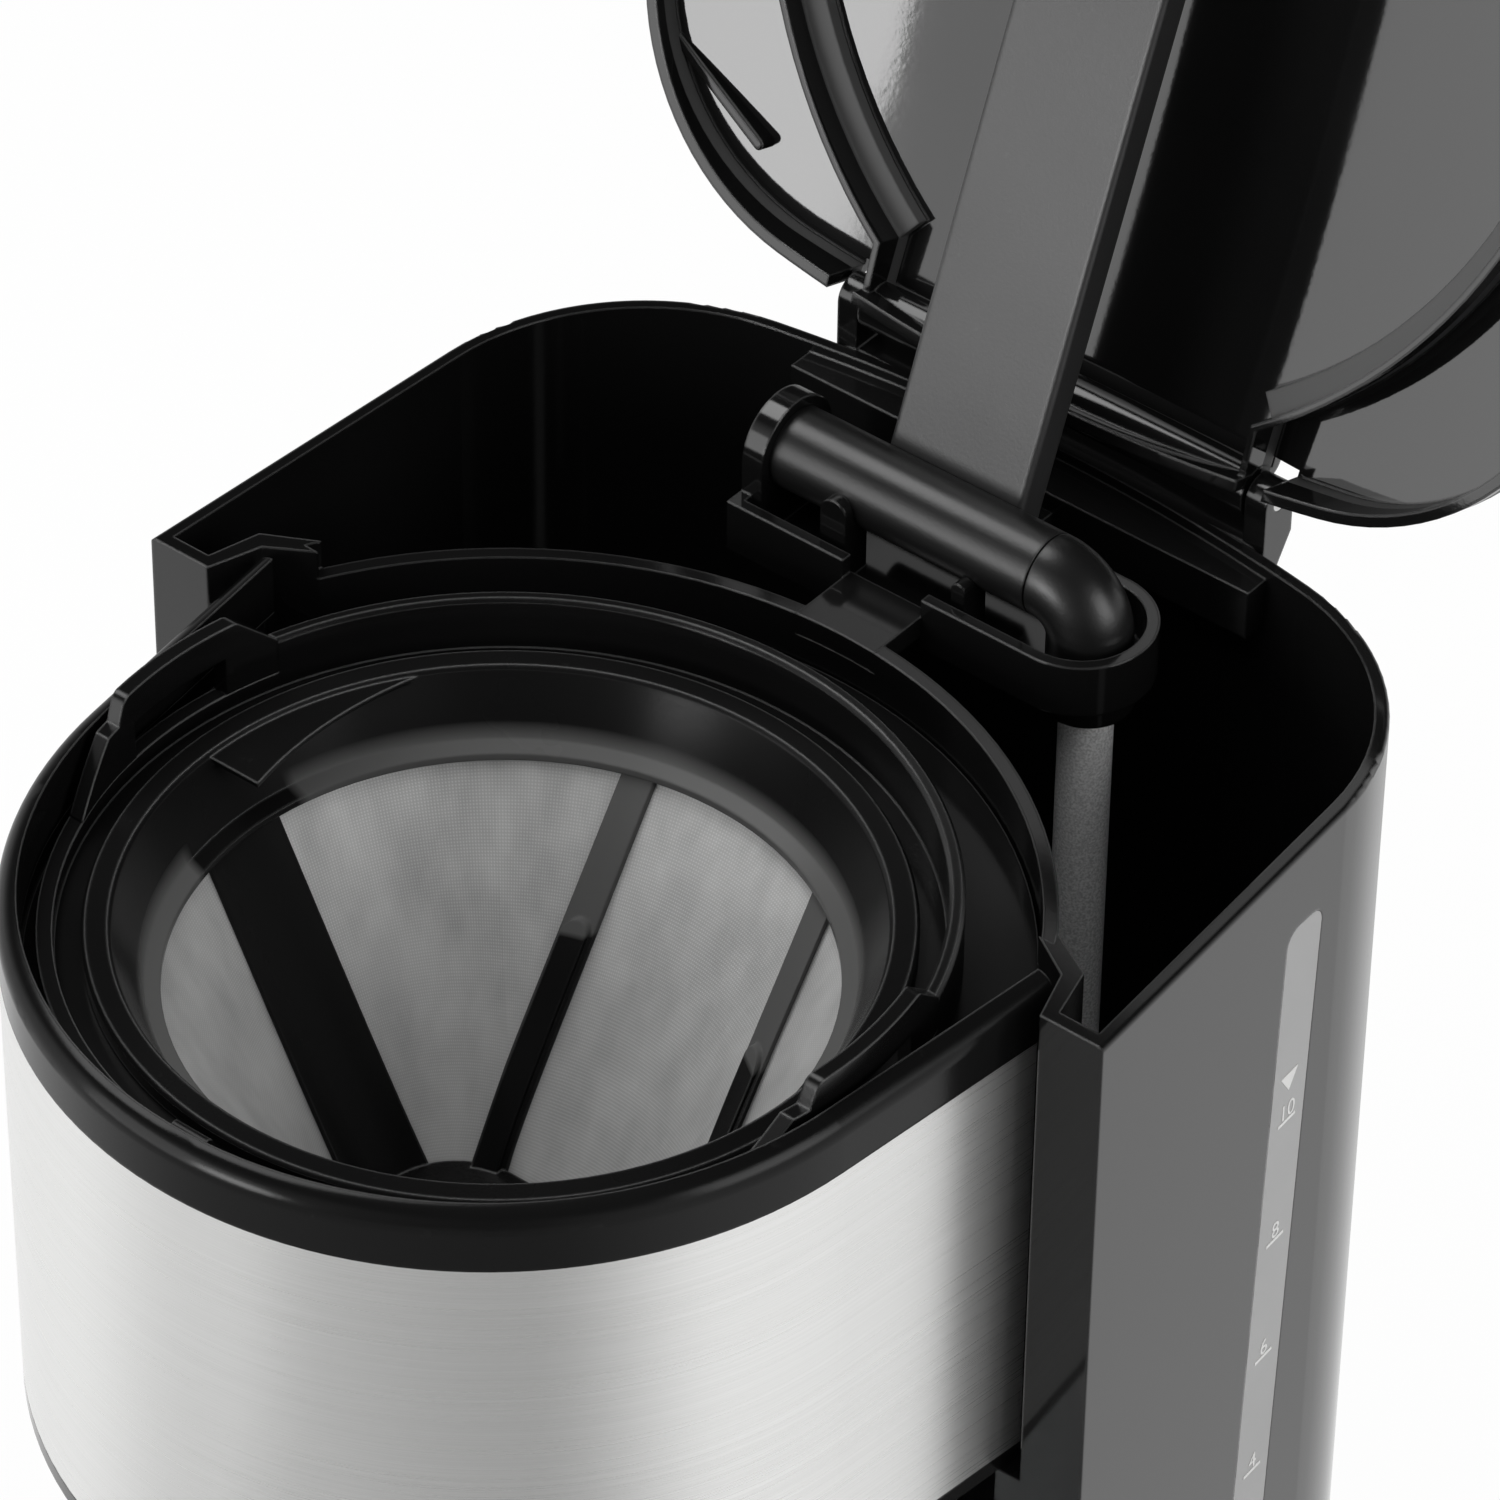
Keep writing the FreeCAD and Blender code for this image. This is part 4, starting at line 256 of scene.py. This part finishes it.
def cell_distance(tree, cells_per_metre):
    """Distance to the middle of the nearest of many small cells."""
    texture = tree.nodes.new("ShaderNodeTexVoronoi")
    texture.inputs["Scale"].default_value = cells_per_metre
    tree.links.new(object_coordinates(tree), texture.inputs["Vector"])
    return texture.outputs["Distance"]


def coated_plate():
    """Dark coating with a pale speck in the middle of each cell."""
    material, tree, shader = blank_material("non_stick_coating")
    distance = cell_distance(tree, cells_per_metre=700.0)
    away = rise(tree, distance, start=0.05, end=0.22)
    paint(tree, shader, {
        "Base Color": mix_colours(tree, away, (0.07, 0.07, 0.072), (0.016, 0.016, 0.017)),
        "Roughness": 0.42,
        "Normal": relief(tree, distance, strength=0.15)})
    return material


dress(coated_plate(), "hot_plate")


# Heater parts under the plate: a cast aluminium tube and thermostat, plated steel strap and screws, and pale
# heat-proof plastic for the fuse sleeve, the terminals and the check valve.

def worked_metal(name, dark, light, roughness, stretch):
    """Bare metal with streaks; stretch scales the streak pattern along X, Y and Z."""
    material, tree, shader = blank_material(name)
    streaks = noise(tree, object_coordinates(tree, stretch), scale=1.0, detail=4.0)
    paint(tree, shader, {
        "Base Color": mix_colours(tree, streaks, dark, light),
        "Roughness": rise(tree, streaks, start=0.25, end=0.75, low=roughness[0], high=roughness[1]),
        "Normal": relief(tree, streaks, strength=0.08),
        "Metallic": 1.0})
    return material


cast_aluminium = worked_metal("cast_aluminium", (0.5, 0.5, 0.51), (0.68, 0.68, 0.69), roughness=(0.4, 0.6),
                              stretch=(600.0, 600.0, 600.0))
plated_steel = worked_metal("plated_steel", (0.5, 0.5, 0.5), (0.7, 0.7, 0.7), roughness=(0.2, 0.35),
                            stretch=(200.0, 200.0, 900.0))
pale_plastic = moulded_plastic("pale_heatproof_plastic", (0.55, 0.53, 0.48), (0.75, 0.73, 0.67),
                               roughness=(0.4, 0.55))
dress(cast_aluminium, "heating_element", "thermostat")
dress(plated_steel, "heater_bracket", "cover_screws", "hinge_pins", "check_ball", "valve_spring",
      "handle_screw")
dress(pale_plastic, "thermal_fuse", "terminal_block", "check_valve")


# Rocker and lamp: a glossy black rocker on its pivot, and a clear red moulded lens with fine facets inside,
# pressed into the base beside it.

def lamp_red():
    """Clear red plastic, deeper between its facets, under a glossy skin."""
    material, tree, shader = blank_material("lamp_lens_red")
    facets = cell_distance(tree, cells_per_metre=900.0)
    paint(tree, shader, {
        "Base Color": mix_colours(tree, facets, (0.62, 0.05, 0.03), (0.32, 0.015, 0.01)),
        "Roughness": 0.12,
        "Coat Weight": 0.5})
    return material


rocker_black = moulded_plastic("rocker_black", (0.012, 0.012, 0.013), (0.03, 0.03, 0.032),
                               roughness=(0.1, 0.18))
dress(rocker_black, "rocker_switch")
dress(lamp_red(), "indicator_lens")


# Water tank: one black ABS moulding with two ears, a deep round inner wall and the lugs of the hinge. It is
# glossy outside and in, and stands on the base.

dress(gloss_black, "rear_tank")


# Level window: a frosted clear strip let into the right side wall and welded there. It lets a grey light
# through from the tank.

def frosted_strip():
    """Cloudy grey plastic with a thin glossy skin."""
    material, tree, shader = blank_material("frosted_window")
    cloud = noise(tree, object_coordinates(tree), scale=30.0, detail=4.0)
    paint(tree, shader, {
        "Base Color": mix_colours(tree, cloud, (0.27, 0.27, 0.27), (0.36, 0.36, 0.36)),
        "Roughness": 0.28,
        "Coat Weight": 0.2})
    return material


dress(frosted_strip(), "water_window")


# Level marks: white ink printed on the window, a bar for every two cups with its number above it, and a
# triangle at the fullest level. The ink film is about a tenth of a millimetre thick.

scene = bpy.context.scene


def build_level_bars():
    """Node tree that lays equal bars at equal steps down a line; returns it with its input identifiers."""
    tree = bpy.data.node_groups.new("level_bars", "GeometryNodeTree")
    inputs = {}
    for name, kind in (("Count", "NodeSocketInt"), ("Step", "NodeSocketVector"), ("Bar", "NodeSocketVector"),
                       ("Ink", "NodeSocketMaterial")):
        inputs[name] = tree.interface.new_socket(name, in_out="INPUT", socket_type=kind).identifier
    tree.interface.new_socket("Geometry", in_out="OUTPUT", socket_type="NodeSocketGeometry")
    enter = tree.nodes.new("NodeGroupInput")
    leave = tree.nodes.new("NodeGroupOutput")
    row = tree.nodes.new("GeometryNodeMeshLine")
    bar = tree.nodes.new("GeometryNodeMeshCube")
    spread = tree.nodes.new("GeometryNodeInstanceOnPoints")
    whole = tree.nodes.new("GeometryNodeRealizeInstances")
    coat = tree.nodes.new("GeometryNodeSetMaterial")
    tree.links.new(enter.outputs["Count"], row.inputs["Count"])
    tree.links.new(enter.outputs["Step"], row.inputs["Offset"])
    tree.links.new(enter.outputs["Bar"], bar.inputs["Size"])
    tree.links.new(enter.outputs["Ink"], coat.inputs["Material"])
    tree.links.new(row.outputs["Mesh"], spread.inputs["Points"])
    tree.links.new(bar.outputs["Mesh"], spread.inputs["Instance"])
    tree.links.new(spread.outputs["Instances"], whole.inputs["Geometry"])
    tree.links.new(whole.outputs["Geometry"], coat.inputs["Geometry"])
    tree.links.new(coat.outputs["Geometry"], leave.inputs["Geometry"])
    return tree, inputs


def plain_mesh(holder):
    """Final mesh of a text or modified object, which is then removed."""
    scene.collection.objects.link(holder)
    evaluated = holder.evaluated_get(bpy.context.evaluated_depsgraph_get())
    mesh = bpy.data.meshes.new_from_object(evaluated)
    bpy.data.objects.remove(holder)
    return mesh


def shape_mesh(name, shape, material):
    """Mesh of a finished bmesh, which is then freed, in one material."""
    mesh = bpy.data.meshes.new(name)
    shape.to_mesh(mesh)
    shape.free()
    mesh.materials.clear()
    mesh.materials.append(material)
    return mesh


def place_piece(name, mesh, body):
    """Puts a finished mesh in the scene, riding on a body."""
    piece = bpy.data.objects.new(name, mesh)
    scene.collection.objects.link(piece)
    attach(piece, body)
    return piece


ear_half_width, ear_y = 0.092, -0.02235
side_lean = math.radians(3.77)
window_lean = math.radians(2.6)
strip_back, strip_top_height = 0.0558, 0.257
first_level, level_step = 0.2178, 0.0241
labels = ("10", "8", "6", "4", "2")
number_height, number_lift = 0.0044, 0.0006
bar_length, bar_width, ink_depth = 0.0048, 0.0006, 0.00016
tip_height, base_height, base_half = 0.0062, 0.0098, 0.0024

upward = Vector((0.0, 0.0, 1.0))
along_wall = Vector((-math.sin(side_lean), math.cos(side_lean), 0.0))
out_of_wall = Vector((math.cos(side_lean), math.sin(side_lean), 0.0))
strip_top = Vector((ear_half_width - strip_back * math.tan(side_lean), ear_y + strip_back, strip_top_height))
down_strip = along_wall * -math.tan(window_lean) - upward
wall_turn = Matrix((along_wall, upward, out_of_wall)).transposed().to_4x4()
wall_place = Matrix.Translation(strip_top + down_strip * (strip_top.z - first_level)) @ wall_turn
white_ink = moulded_plastic("printed_white_ink", (0.74, 0.74, 0.73), (0.9, 0.9, 0.89),
                            roughness=(0.45, 0.6), edge=0.00002)

bars_tree, bar_inputs = build_level_bars()
bars_holder = bpy.data.objects.new("level_bars_source", bpy.data.meshes.new("level_bars_source"))
bars = bars_holder.modifiers.new("bars", "NODES")
bars.node_group = bars_tree
bars[bar_inputs["Count"]] = len(labels)
bars[bar_inputs["Step"]] = (-level_step * math.tan(window_lean), -level_step, 0.0)
bars[bar_inputs["Bar"]] = (bar_length, bar_width, ink_depth)
bars[bar_inputs["Ink"]] = white_ink
bars_mesh = plain_mesh(bars_holder)
bars_mesh.transform(wall_place)
place_piece("level_bars", bars_mesh, "body")

print_shape = bmesh.new()
for row, label in enumerate(labels):
    letters = bpy.data.curves.new("level_number", "FONT")
    letters.body = label
    letters.size = number_height
    letters.extrude = ink_depth / 2
    letters.align_x = "CENTER"
    number = plain_mesh(bpy.data.objects.new("level_number", letters))
    drop = row * level_step
    number.transform(Matrix.Translation((-drop * math.tan(window_lean), number_lift - drop, 0.0)))
    print_shape.from_mesh(number)
corners = ((0.0, tip_height), (base_half, base_height), (-base_half, base_height))
low_ring = [print_shape.verts.new((x, y, -ink_depth / 2)) for x, y in corners]
high_ring = [print_shape.verts.new((x, y, ink_depth / 2)) for x, y in corners]
print_shape.faces.new(high_ring)
print_shape.faces.new(low_ring[::-1])
for index in range(len(corners)):
    after = (index + 1) % len(corners)
    print_shape.faces.new((low_ring[index], low_ring[after], high_ring[after], high_ring[index]))
numbers_mesh = shape_mesh("level_numbers", print_shape, white_ink)
numbers_mesh.transform(wall_place)
place_piece("level_numbers", numbers_mesh, "body")


# Brew housing, basket shelf and rim band: black ABS mouldings at the tank's front. The band caps the steel
# sheet; it and the shelf have a finer and less glossy skin than the housing.

# Its edge amount paints a paler highlight on its upward edges.
band_black = moulded_plastic("satin_band_abs", black_low, (0.010, 0.010, 0.010), roughness=(0.14, 0.22),
                             grain=1200.0, depth=0.03, edge_highlight=0.12, sheen=0.17)
dress(gloss_black, "brew_housing")
dress(band_black, "rim_band", "basket_shelf")


# Steel wrap and carafe collar: thin stainless sheet, bent round the body and held under the rim band. It is
# brushed along the bend, so its highlights stand as upright streaks.

def brushed_wrap():
    """Stainless sheet with fine level brush lines; its blur is widest across them."""
    brush_stretch = (9.0, 9.0, 5200.0)
    material, tree, shader = blank_material("brushed_stainless")
    lines = noise(tree, object_coordinates(tree, brush_stretch), scale=1.0, detail=6.0, roughness=0.7)
    paint(tree, shader, {
        "Base Color": mix_colours(tree, lines, (0.60, 0.60, 0.59), (0.92, 0.92, 0.91)),
        "Roughness": rise(tree, lines, start=0.0, end=1.0, low=0.22, high=0.36),
        "Normal": relief(tree, lines, strength=0.05, distance=0.0001),
        "Metallic": 0.88,
        "Anisotropic": 0.75,
        "Anisotropic Rotation": 0.25})
    return material


dress(brushed_wrap(), "steel_wrap", "carafe_band")


# Hoses: frosted silicone tube, extruded and cut to length, with a speckled skin. They are pushed over the
# heater's stubs, and the riser into the elbow.

def frosted_silicone():
    """Pale grey rubber with sharp fine specks."""
    material, tree, shader = blank_material("frosted_silicone")
    grain = noise(tree, object_coordinates(tree), scale=2400.0, detail=2.0)
    specks = rise(tree, grain, start=0.35, end=0.65)
    paint(tree, shader, {
        "Base Color": mix_colours(tree, specks, (0.6, 0.6, 0.6), (0.96, 0.96, 0.96)),
        "Roughness": 0.45})
    return material


dress(frosted_silicone(), "riser_hose", "inlet_hose")


# Spout: satin black tube, end cap, elbow, flat arm and shower head, moulded separately and pushed together.
# The tube turns in a glossy black trough in the tank, and the arm swings up with the lid.

spout_black = moulded_plastic("satin_spout", (0.016, 0.016, 0.016), (0.044, 0.044, 0.045),
                              roughness=(0.30, 0.42), grain=1800.0, depth=0.12)
tube_black = moulded_plastic("satin_tube", (0.005, 0.005, 0.005), (0.014, 0.014, 0.014),
                             roughness=(0.26, 0.38), grain=1800.0, depth=0.1)
dress(gloss_black, "tube_saddle")
dress(spout_black, "spout_arm", "shower_head")
dress(tube_black, "outlet_tube", "tube_end_cap", "outlet_elbow")


# Brew basket and drip valve: satin black polypropylene mouldings. The valve's stem goes up through the floor
# of the basket, and a coil of plated wire round it, pressed between floor and knob, holds the valve shut.

dress(satin_black, "brew_basket", "basket_grips", "drip_valve")

joints = {joint["name"]: joint for joint in frame["joints"]}
spring_low, spring_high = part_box("valve_spring")
stem = Vector((0.0, (spring_low.y + spring_high.y) / 2, 0.0))
coil_low, coil_high = spring_low.z, spring_high.z
wire_radius, coil_turns = 0.0003, 4
coil_radius = spring_high.x - 2.0 * wire_radius
steps_per_turn, wire_sides = 28, 10
coil_steps = coil_turns * steps_per_turn
coil = bmesh.new()
rings = []
for step in range(coil_steps + 1):
    share = step / coil_steps
    swing = 2.0 * math.pi * coil_turns * share
    outward = Vector((math.cos(swing), math.sin(swing), 0.0))
    middle = stem + outward * coil_radius
    middle.z = coil_low + wire_radius + share * (coil_high - coil_low - 2.0 * wire_radius)
    ring = []
    for side in range(wire_sides):
        angle = 2.0 * math.pi * side / wire_sides
        offset = outward * math.cos(angle) + upward * math.sin(angle)
        ring.append(coil.verts.new(middle + offset * wire_radius))
    rings.append(ring)
for before, after in zip(rings, rings[1:]):
    for side in range(wire_sides):
        beside = (side + 1) % wire_sides
        coil.faces.new((before[side], before[beside], after[beside], after[side]))
end_caps = (coil.faces.new(rings[0]), coil.faces.new(rings[-1][::-1]))
bmesh.ops.recalc_face_normals(coil, faces=coil.faces)
for face in coil.faces:
    face.smooth = face not in end_caps
valve_coil = place_piece("valve_coil", shape_mesh("valve_coil", coil, plated_steel), "basket")
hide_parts("valve_spring")
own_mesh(valve_coil)


# Permanent filter: a polypropylene frame moulded round a fine woven cloth. The cloth laps over the thin ribs
# and the foot of the skirt and greys them; the two wide ribs at the sides stay bare.

def bearing_of(tree, vector):
    """Bearing of a vector round the Z axis, from 0 to 1 over a whole turn."""
    gradient = tree.nodes.new("ShaderNodeTexGradient")
    gradient.gradient_type = "RADIAL"
    tree.links.new(vector, gradient.inputs["Vector"])
    return gradient.outputs["Fac"]


def woven_cloth():
    """Fine cloth with threads round the cup and down it, and slow bands where it is drawn over the ribs."""
    threads_round, threads_per_metre = 620.0, 2200.0
    fold_stretch, weave_weight = (150.0, 150.0, 12.0), 0.45
    material, tree, shader = blank_material("fine_filter_weave")
    centred = object_coordinates(tree, shift=-stem)

    def threads(value, count):
        """Light and dark threads: a sine of the value, moved into 0 to 1."""
        wave = combine(tree, "SINE", combine(tree, "MULTIPLY", value, count * 2.0 * math.pi))
        return combine(tree, "MULTIPLY_ADD", wave, 0.5, 0.5)

    weave = combine(tree, "MULTIPLY", threads(bearing_of(tree, centred), threads_round),
                    threads(axes(tree, centred)["Z"], threads_per_metre))
    folds = noise(tree, object_coordinates(tree, fold_stretch), scale=1.0, detail=3.0)
    shade = combine(tree, "MULTIPLY_ADD", weave, weave_weight, folds)
    paint(tree, shader, {
        "Base Color": mix_colours(tree, shade, (0.28, 0.28, 0.28), (0.59, 0.59, 0.585)),
        "Roughness": 0.5,
        "Metallic": 0.2,
        "Normal": relief(tree, weave, strength=0.25, distance=0.0001)})
    return material


def shader_of(material):
    """The one Principled BSDF of a material."""
    return next(node for node in material.node_tree.nodes if node.type == "BSDF_PRINCIPLED")


def filter_plastic():
    """Dark moulded frame, grey between two heights and away from the wide ribs at its sides."""
    lap_foot, lap_top, wide_rib_edge = (0.2280, 0.2288), (0.2555, 0.2530), (0.0105, 0.0125)
    # The edge amount paints paler highlights on the frame's upward edges.
    material = moulded_plastic("filter_frame_pp", black_low, black_high, roughness=(0.2, 0.3), grain=1400.0,
                               edge_highlight=0.25, sheen=0.12)
    tree, shader = material.node_tree, shader_of(material)
    bare = shader.inputs["Base Color"].links[0].from_socket
    place = axes(tree, object_coordinates(tree, shift=-stem))
    lapped = combine(tree, "MULTIPLY", rise(tree, place["Z"], *lap_foot), rise(tree, place["Z"], *lap_top))
    clear = rise(tree, combine(tree, "ABSOLUTE", place["Y"]), *wide_rib_edge)
    veil = combine(tree, "MULTIPLY", lapped, clear)
    paint(tree, shader, {"Base Color": mix_colours(tree, veil, bare, (0.085, 0.085, 0.084))})
    return material


dress(filter_plastic(), "filter_frame")
dress(woven_cloth(), "filter_mesh")


# Carafe: blown borosilicate glass, clamped in a steel collar that a screw draws tight, with a moulded black
# handle and a black twist-lock lid.

def clear_glass():
    """Clear glass with the slow ripple of blown ware."""
    material, tree, shader = blank_material("borosilicate_glass")
    ripple = noise(tree, object_coordinates(tree), scale=25.0, detail=2.0)
    paint(tree, shader, {
        "Base Color": (0.96, 0.98, 0.98),
        "Roughness": 0.02,
        "Transmission Weight": 1.0,
        "IOR": 1.47,
        "Normal": relief(tree, ripple, strength=0.03, distance=0.001)})
    return material


dress(clear_glass(), "carafe_glass")
dress(gloss_black, "carafe_handle", "carafe_lid")


# Lid: a thin domed black moulding with a skirt, two ribs and a hinge barrel, held by two steel pins. It is
# polished; on the ledges beside the ribs, just under the roof, a dull grey band is painted as the highlight
# of the inside fillet.

crown_y, crown_height = -0.0178, 0.2893
dome_radius, arch_radius = 1.2, 0.42
hinge = Vector(joints["lid_hinge"]["pos_m"])
closing_turn = -math.radians(joints["lid_hinge"]["range_deg"][0])


def lid_plastic():
    """Glossy moulding with a painted highlight: a dull grey band just under the roof, found in the closed
    lid's own coordinates.
    """
    band_start, band_end = (0.0009, 0.0012), (0.0040, 0.0036)
    material = moulded_plastic("gloss_lid_abs", black_low, black_high, roughness=(0.035, 0.07), depth=0.015,
                               edge_highlight=0.08)
    tree, shader = material.node_tree, shader_of(material)
    polished = shader.inputs["Base Color"].links[0].from_socket
    gloss = shader.inputs["Roughness"].links[0].from_socket
    closed = tree.nodes.new("ShaderNodeVectorRotate")
    closed.rotation_type = "X_AXIS"
    closed.inputs["Center"].default_value = hinge
    closed.inputs["Angle"].default_value = closing_turn
    tree.links.new(object_coordinates(tree), closed.inputs["Vector"])
    place = axes(tree, closed.outputs["Vector"])

    def fall(distance, radius):
        """How far a shallow arc of this radius drops at a distance from its crown."""
        return combine(tree, "DIVIDE", combine(tree, "MULTIPLY", distance, distance), 2.0 * radius)

    drop = combine(tree, "ADD", fall(combine(tree, "SUBTRACT", place["Y"], crown_y), dome_radius),
                   fall(place["X"], arch_radius))
    under_roof = combine(tree, "SUBTRACT", crown_height, combine(tree, "ADD", drop, place["Z"]))
    # The matt grey band under the roof is a painted highlight along the inside fillet.
    matt = combine(tree, "MULTIPLY", rise(tree, under_roof, *band_start), rise(tree, under_roof, *band_end))
    paint(tree, shader, {
        "Base Color": mix_colours(tree, matt, polished, (0.06, 0.06, 0.06)),
        "Roughness": rise(tree, matt, start=0.0, end=1.0, low=gloss, high=0.6)})
    return material


dress(lid_plastic(), "lid_shell")


# Lid tongue: a short blade moulded on the left of the lid's inside, from the skirt towards the rib. It is
# drawn with the lid closed and then turned open with it; its round end and free edge are softened.

blade_root, blade_tip = Vector((-0.0835, 0.0605)), Vector((-0.0640, 0.0712))
blade_half, free_edge, edge_round = 0.0010, 0.2772, 0.0003
end_steps = 10


def blade_top(x, y):
    """Height of the blade's upper end, a little way into the closed lid's roof."""
    return crown_height - (y - crown_y) ** 2 / (2.0 * dome_radius) - x ** 2 / (2.0 * arch_radius)


run = (blade_tip - blade_root).normalized()
across = Vector((-run.y, run.x))
outline = [blade_root + across * blade_half, blade_root - across * blade_half]
for step in range(end_steps + 1):
    angle = math.pi * step / end_steps
    outline.append(blade_tip - across * blade_half * math.cos(angle) + run * blade_half * math.sin(angle))
blade = bmesh.new()
free_ring = [blade.verts.new((point.x, point.y, free_edge)) for point in outline]
root_ring = [blade.verts.new((point.x, point.y, blade_top(point.x, point.y))) for point in outline]
free_face = blade.faces.new(free_ring)
blade.faces.new(root_ring[::-1])
for index in range(len(outline)):
    after = (index + 1) % len(outline)
    blade.faces.new((free_ring[index], root_ring[index], root_ring[after], free_ring[after]))
bmesh.ops.recalc_face_normals(blade, faces=blade.faces)
bmesh.ops.bevel(blade, geom=list(free_face.edges), offset=edge_round, segments=2, affect="EDGES")
blade_mesh = shape_mesh("lid_tongue", blade, gloss_black)
opening = Matrix.Rotation(-closing_turn, 4, "X")
blade_mesh.transform(Matrix.Translation(hinge) @ opening @ Matrix.Translation(-hinge))
place_piece("lid_tongue", blade_mesh, "lid")


# Floor and light: a pale floor that fades into a white surround, and soft lamps above, in front and at the
# right. Reflections see a room that is white at the sides and rear and dim in front.

def studio_sides(tree, vector, front):
    """Brightness of the room round the object, by bearing in degrees from +X; front is its dimmest level."""
    stops = ((-150.0, 1.0), (-105.0, 0.5), (-48.0, front), (-8.0, 1.0), (72.0, 1.0), (112.0, 0.45),
             (150.0, 0.45), (178.0, 1.0))
    ramp = tree.nodes.new("ShaderNodeValToRGB")
    ramp.color_ramp.interpolation = "EASE"
    tree.links.new(bearing_of(tree, vector), ramp.inputs["Fac"])
    marks = ramp.color_ramp.elements
    while len(marks) < len(stops):
        marks.new(0.5)
    for mark, (degrees, level) in zip(marks, stops):
        mark.position = degrees / 360.0 + 0.5
        mark.color = (level, level, level, 1.0)
    return ramp.outputs["Color"]


def pale_floor():
    """Matt floor, near white to the eye and as bright as the room's sides to reflections; shadows stay."""
    glow_share, front_level = 0.96, 0.36
    material, tree, shader = blank_material("pale_floor")
    paint(tree, shader, {"Base Color": (0.86, 0.86, 0.86), "Roughness": 0.9})
    rays = tree.nodes.new("ShaderNodeLightPath").outputs
    glow = tree.nodes.new("ShaderNodeEmission")
    room = studio_sides(tree, object_coordinates(tree), front_level)
    feed(tree, glow.inputs["Color"], mix_colours(tree, rays["Is Glossy Ray"], (1.0, 1.0, 1.0), room))
    direct = combine(tree, "MAXIMUM", rays["Is Camera Ray"], rays["Is Transmission Ray"])
    seen = combine(tree, "MAXIMUM", direct, rays["Is Glossy Ray"])
    mix = tree.nodes.new("ShaderNodeMixShader")
    feed(tree, mix.inputs["Fac"], combine(tree, "MULTIPLY", seen, glow_share))
    tree.links.new(shader.outputs["BSDF"], mix.inputs[1])
    tree.links.new(glow.outputs["Emission"], mix.inputs[2])
    output = next(node for node in tree.nodes if node.type == "OUTPUT_MATERIAL")
    tree.links.new(mix.outputs["Shader"], output.inputs["Surface"])
    return material


floor_half = 3.0
floor_mesh = bpy.data.meshes.new("floor")
floor_mesh.from_pydata([(-floor_half, -floor_half, 0.0), (floor_half, -floor_half, 0.0),
                        (floor_half, floor_half, 0.0), (-floor_half, floor_half, 0.0)], [], [(0, 1, 2, 3)])
floor_mesh.materials.append(pale_floor())
floor = bpy.data.objects.new("floor", floor_mesh)
scene.collection.objects.link(floor)


def white_studio():
    """World that is white to the eye, an even fill to matt surfaces, and a room to glossy ones."""
    fill_level, roof_level, front_level = 0.35, 0.02, 0.1
    wall_foot, wall_top, forward_tilt = 0.10, 0.45, 0.6
    studio = bpy.data.worlds.new("white_studio")
    studio.use_nodes = True
    tree = studio.node_tree
    tree.nodes.clear()
    fill, white, room = (tree.nodes.new("ShaderNodeBackground") for _ in range(3))
    fill.inputs["Strength"].default_value = fill_level
    white.inputs["Color"].default_value = (1.0, 1.0, 1.0, 1.0)
    direction = tree.nodes.new("ShaderNodeTexCoord").outputs["Generated"]
    aim = axes(tree, direction)
    ahead = combine(tree, "MINIMUM", aim["Y"], 0.0)
    tilted = combine(tree, "MULTIPLY_ADD", ahead, forward_tilt, aim["Z"])
    walls = rise(tree, tilted, wall_foot, wall_top, 1.0, roof_level)
    sides = studio_sides(tree, direction, front_level)
    feed(tree, room.inputs["Color"], combine(tree, "MULTIPLY", walls, sides))
    rays = tree.nodes.new("ShaderNodeLightPath").outputs
    indirect = tree.nodes.new("ShaderNodeMixShader")
    tree.links.new(rays["Is Glossy Ray"], indirect.inputs["Fac"])
    tree.links.new(fill.outputs["Background"], indirect.inputs[1])
    tree.links.new(room.outputs["Background"], indirect.inputs[2])
    whole = tree.nodes.new("ShaderNodeMixShader")
    direct = combine(tree, "MAXIMUM", rays["Is Camera Ray"], rays["Is Transmission Ray"])
    tree.links.new(direct, whole.inputs["Fac"])
    tree.links.new(indirect.outputs["Shader"], whole.inputs[1])
    tree.links.new(white.outputs["Background"], whole.inputs[2])
    output = tree.nodes.new("ShaderNodeOutputWorld")
    tree.links.new(whole.outputs["Shader"], output.inputs["Surface"])
    return studio


scene.world = white_studio()
rim_centre = Vector((0.0, 0.0, 0.27))


def soft_lamp(name, place, size, power):
    """Square area lamp at place, facing the machine's rim."""
    lamp = bpy.data.lights.new(name, "AREA")
    lamp.size = size
    lamp.energy = power
    holder = bpy.data.objects.new(name, lamp)
    holder.location = place
    holder.rotation_euler = (rim_centre - Vector(place)).to_track_quat("-Z", "Y").to_euler()
    scene.collection.objects.link(holder)
    return holder


overhead = soft_lamp("overhead", (0.1, -0.3, 1.6), size=1.0, power=6.0)
overhead.visible_glossy = False
soft_lamp("front_left", (-0.75, -1.4, 0.5), size=1.2, power=10.0)
soft_lamp("front", (-0.33, -1.6, 0.46), size=0.5, power=7.2)
soft_lamp("right", (1.5, 0.2, 0.9), size=0.9, power=9.5)
soft_lamp("left_high", (-0.78, 0.05, 1.60), size=0.8, power=10.0)


# Camera at the photograph's view: a long lens above the front right corner, close on the open top and turned
# a little about its own axis.

target = Vector((0.01095, -0.0029, 0.272))
away = Vector((0.4756, -0.5980, 0.6452)).normalized()
distance = 1.2646
roll = math.radians(0.77)
level = upward.cross(away).normalized()
upright = away.cross(level)
right_axis = level * math.cos(roll) + upright * math.sin(roll)
up_axis = upright * math.cos(roll) - level * math.sin(roll)
camera_data = bpy.data.cameras.new("camera")
camera_data.sensor_width = 36.0
camera_data.lens = 202.84
camera = bpy.data.objects.new("camera", camera_data)
turn = Matrix((right_axis, up_axis, away)).transposed().to_4x4()
camera.matrix_world = Matrix.Translation(target + away * distance) @ turn
scene.collection.objects.link(camera)
scene.camera = camera
scene.view_settings.view_transform = "Standard"
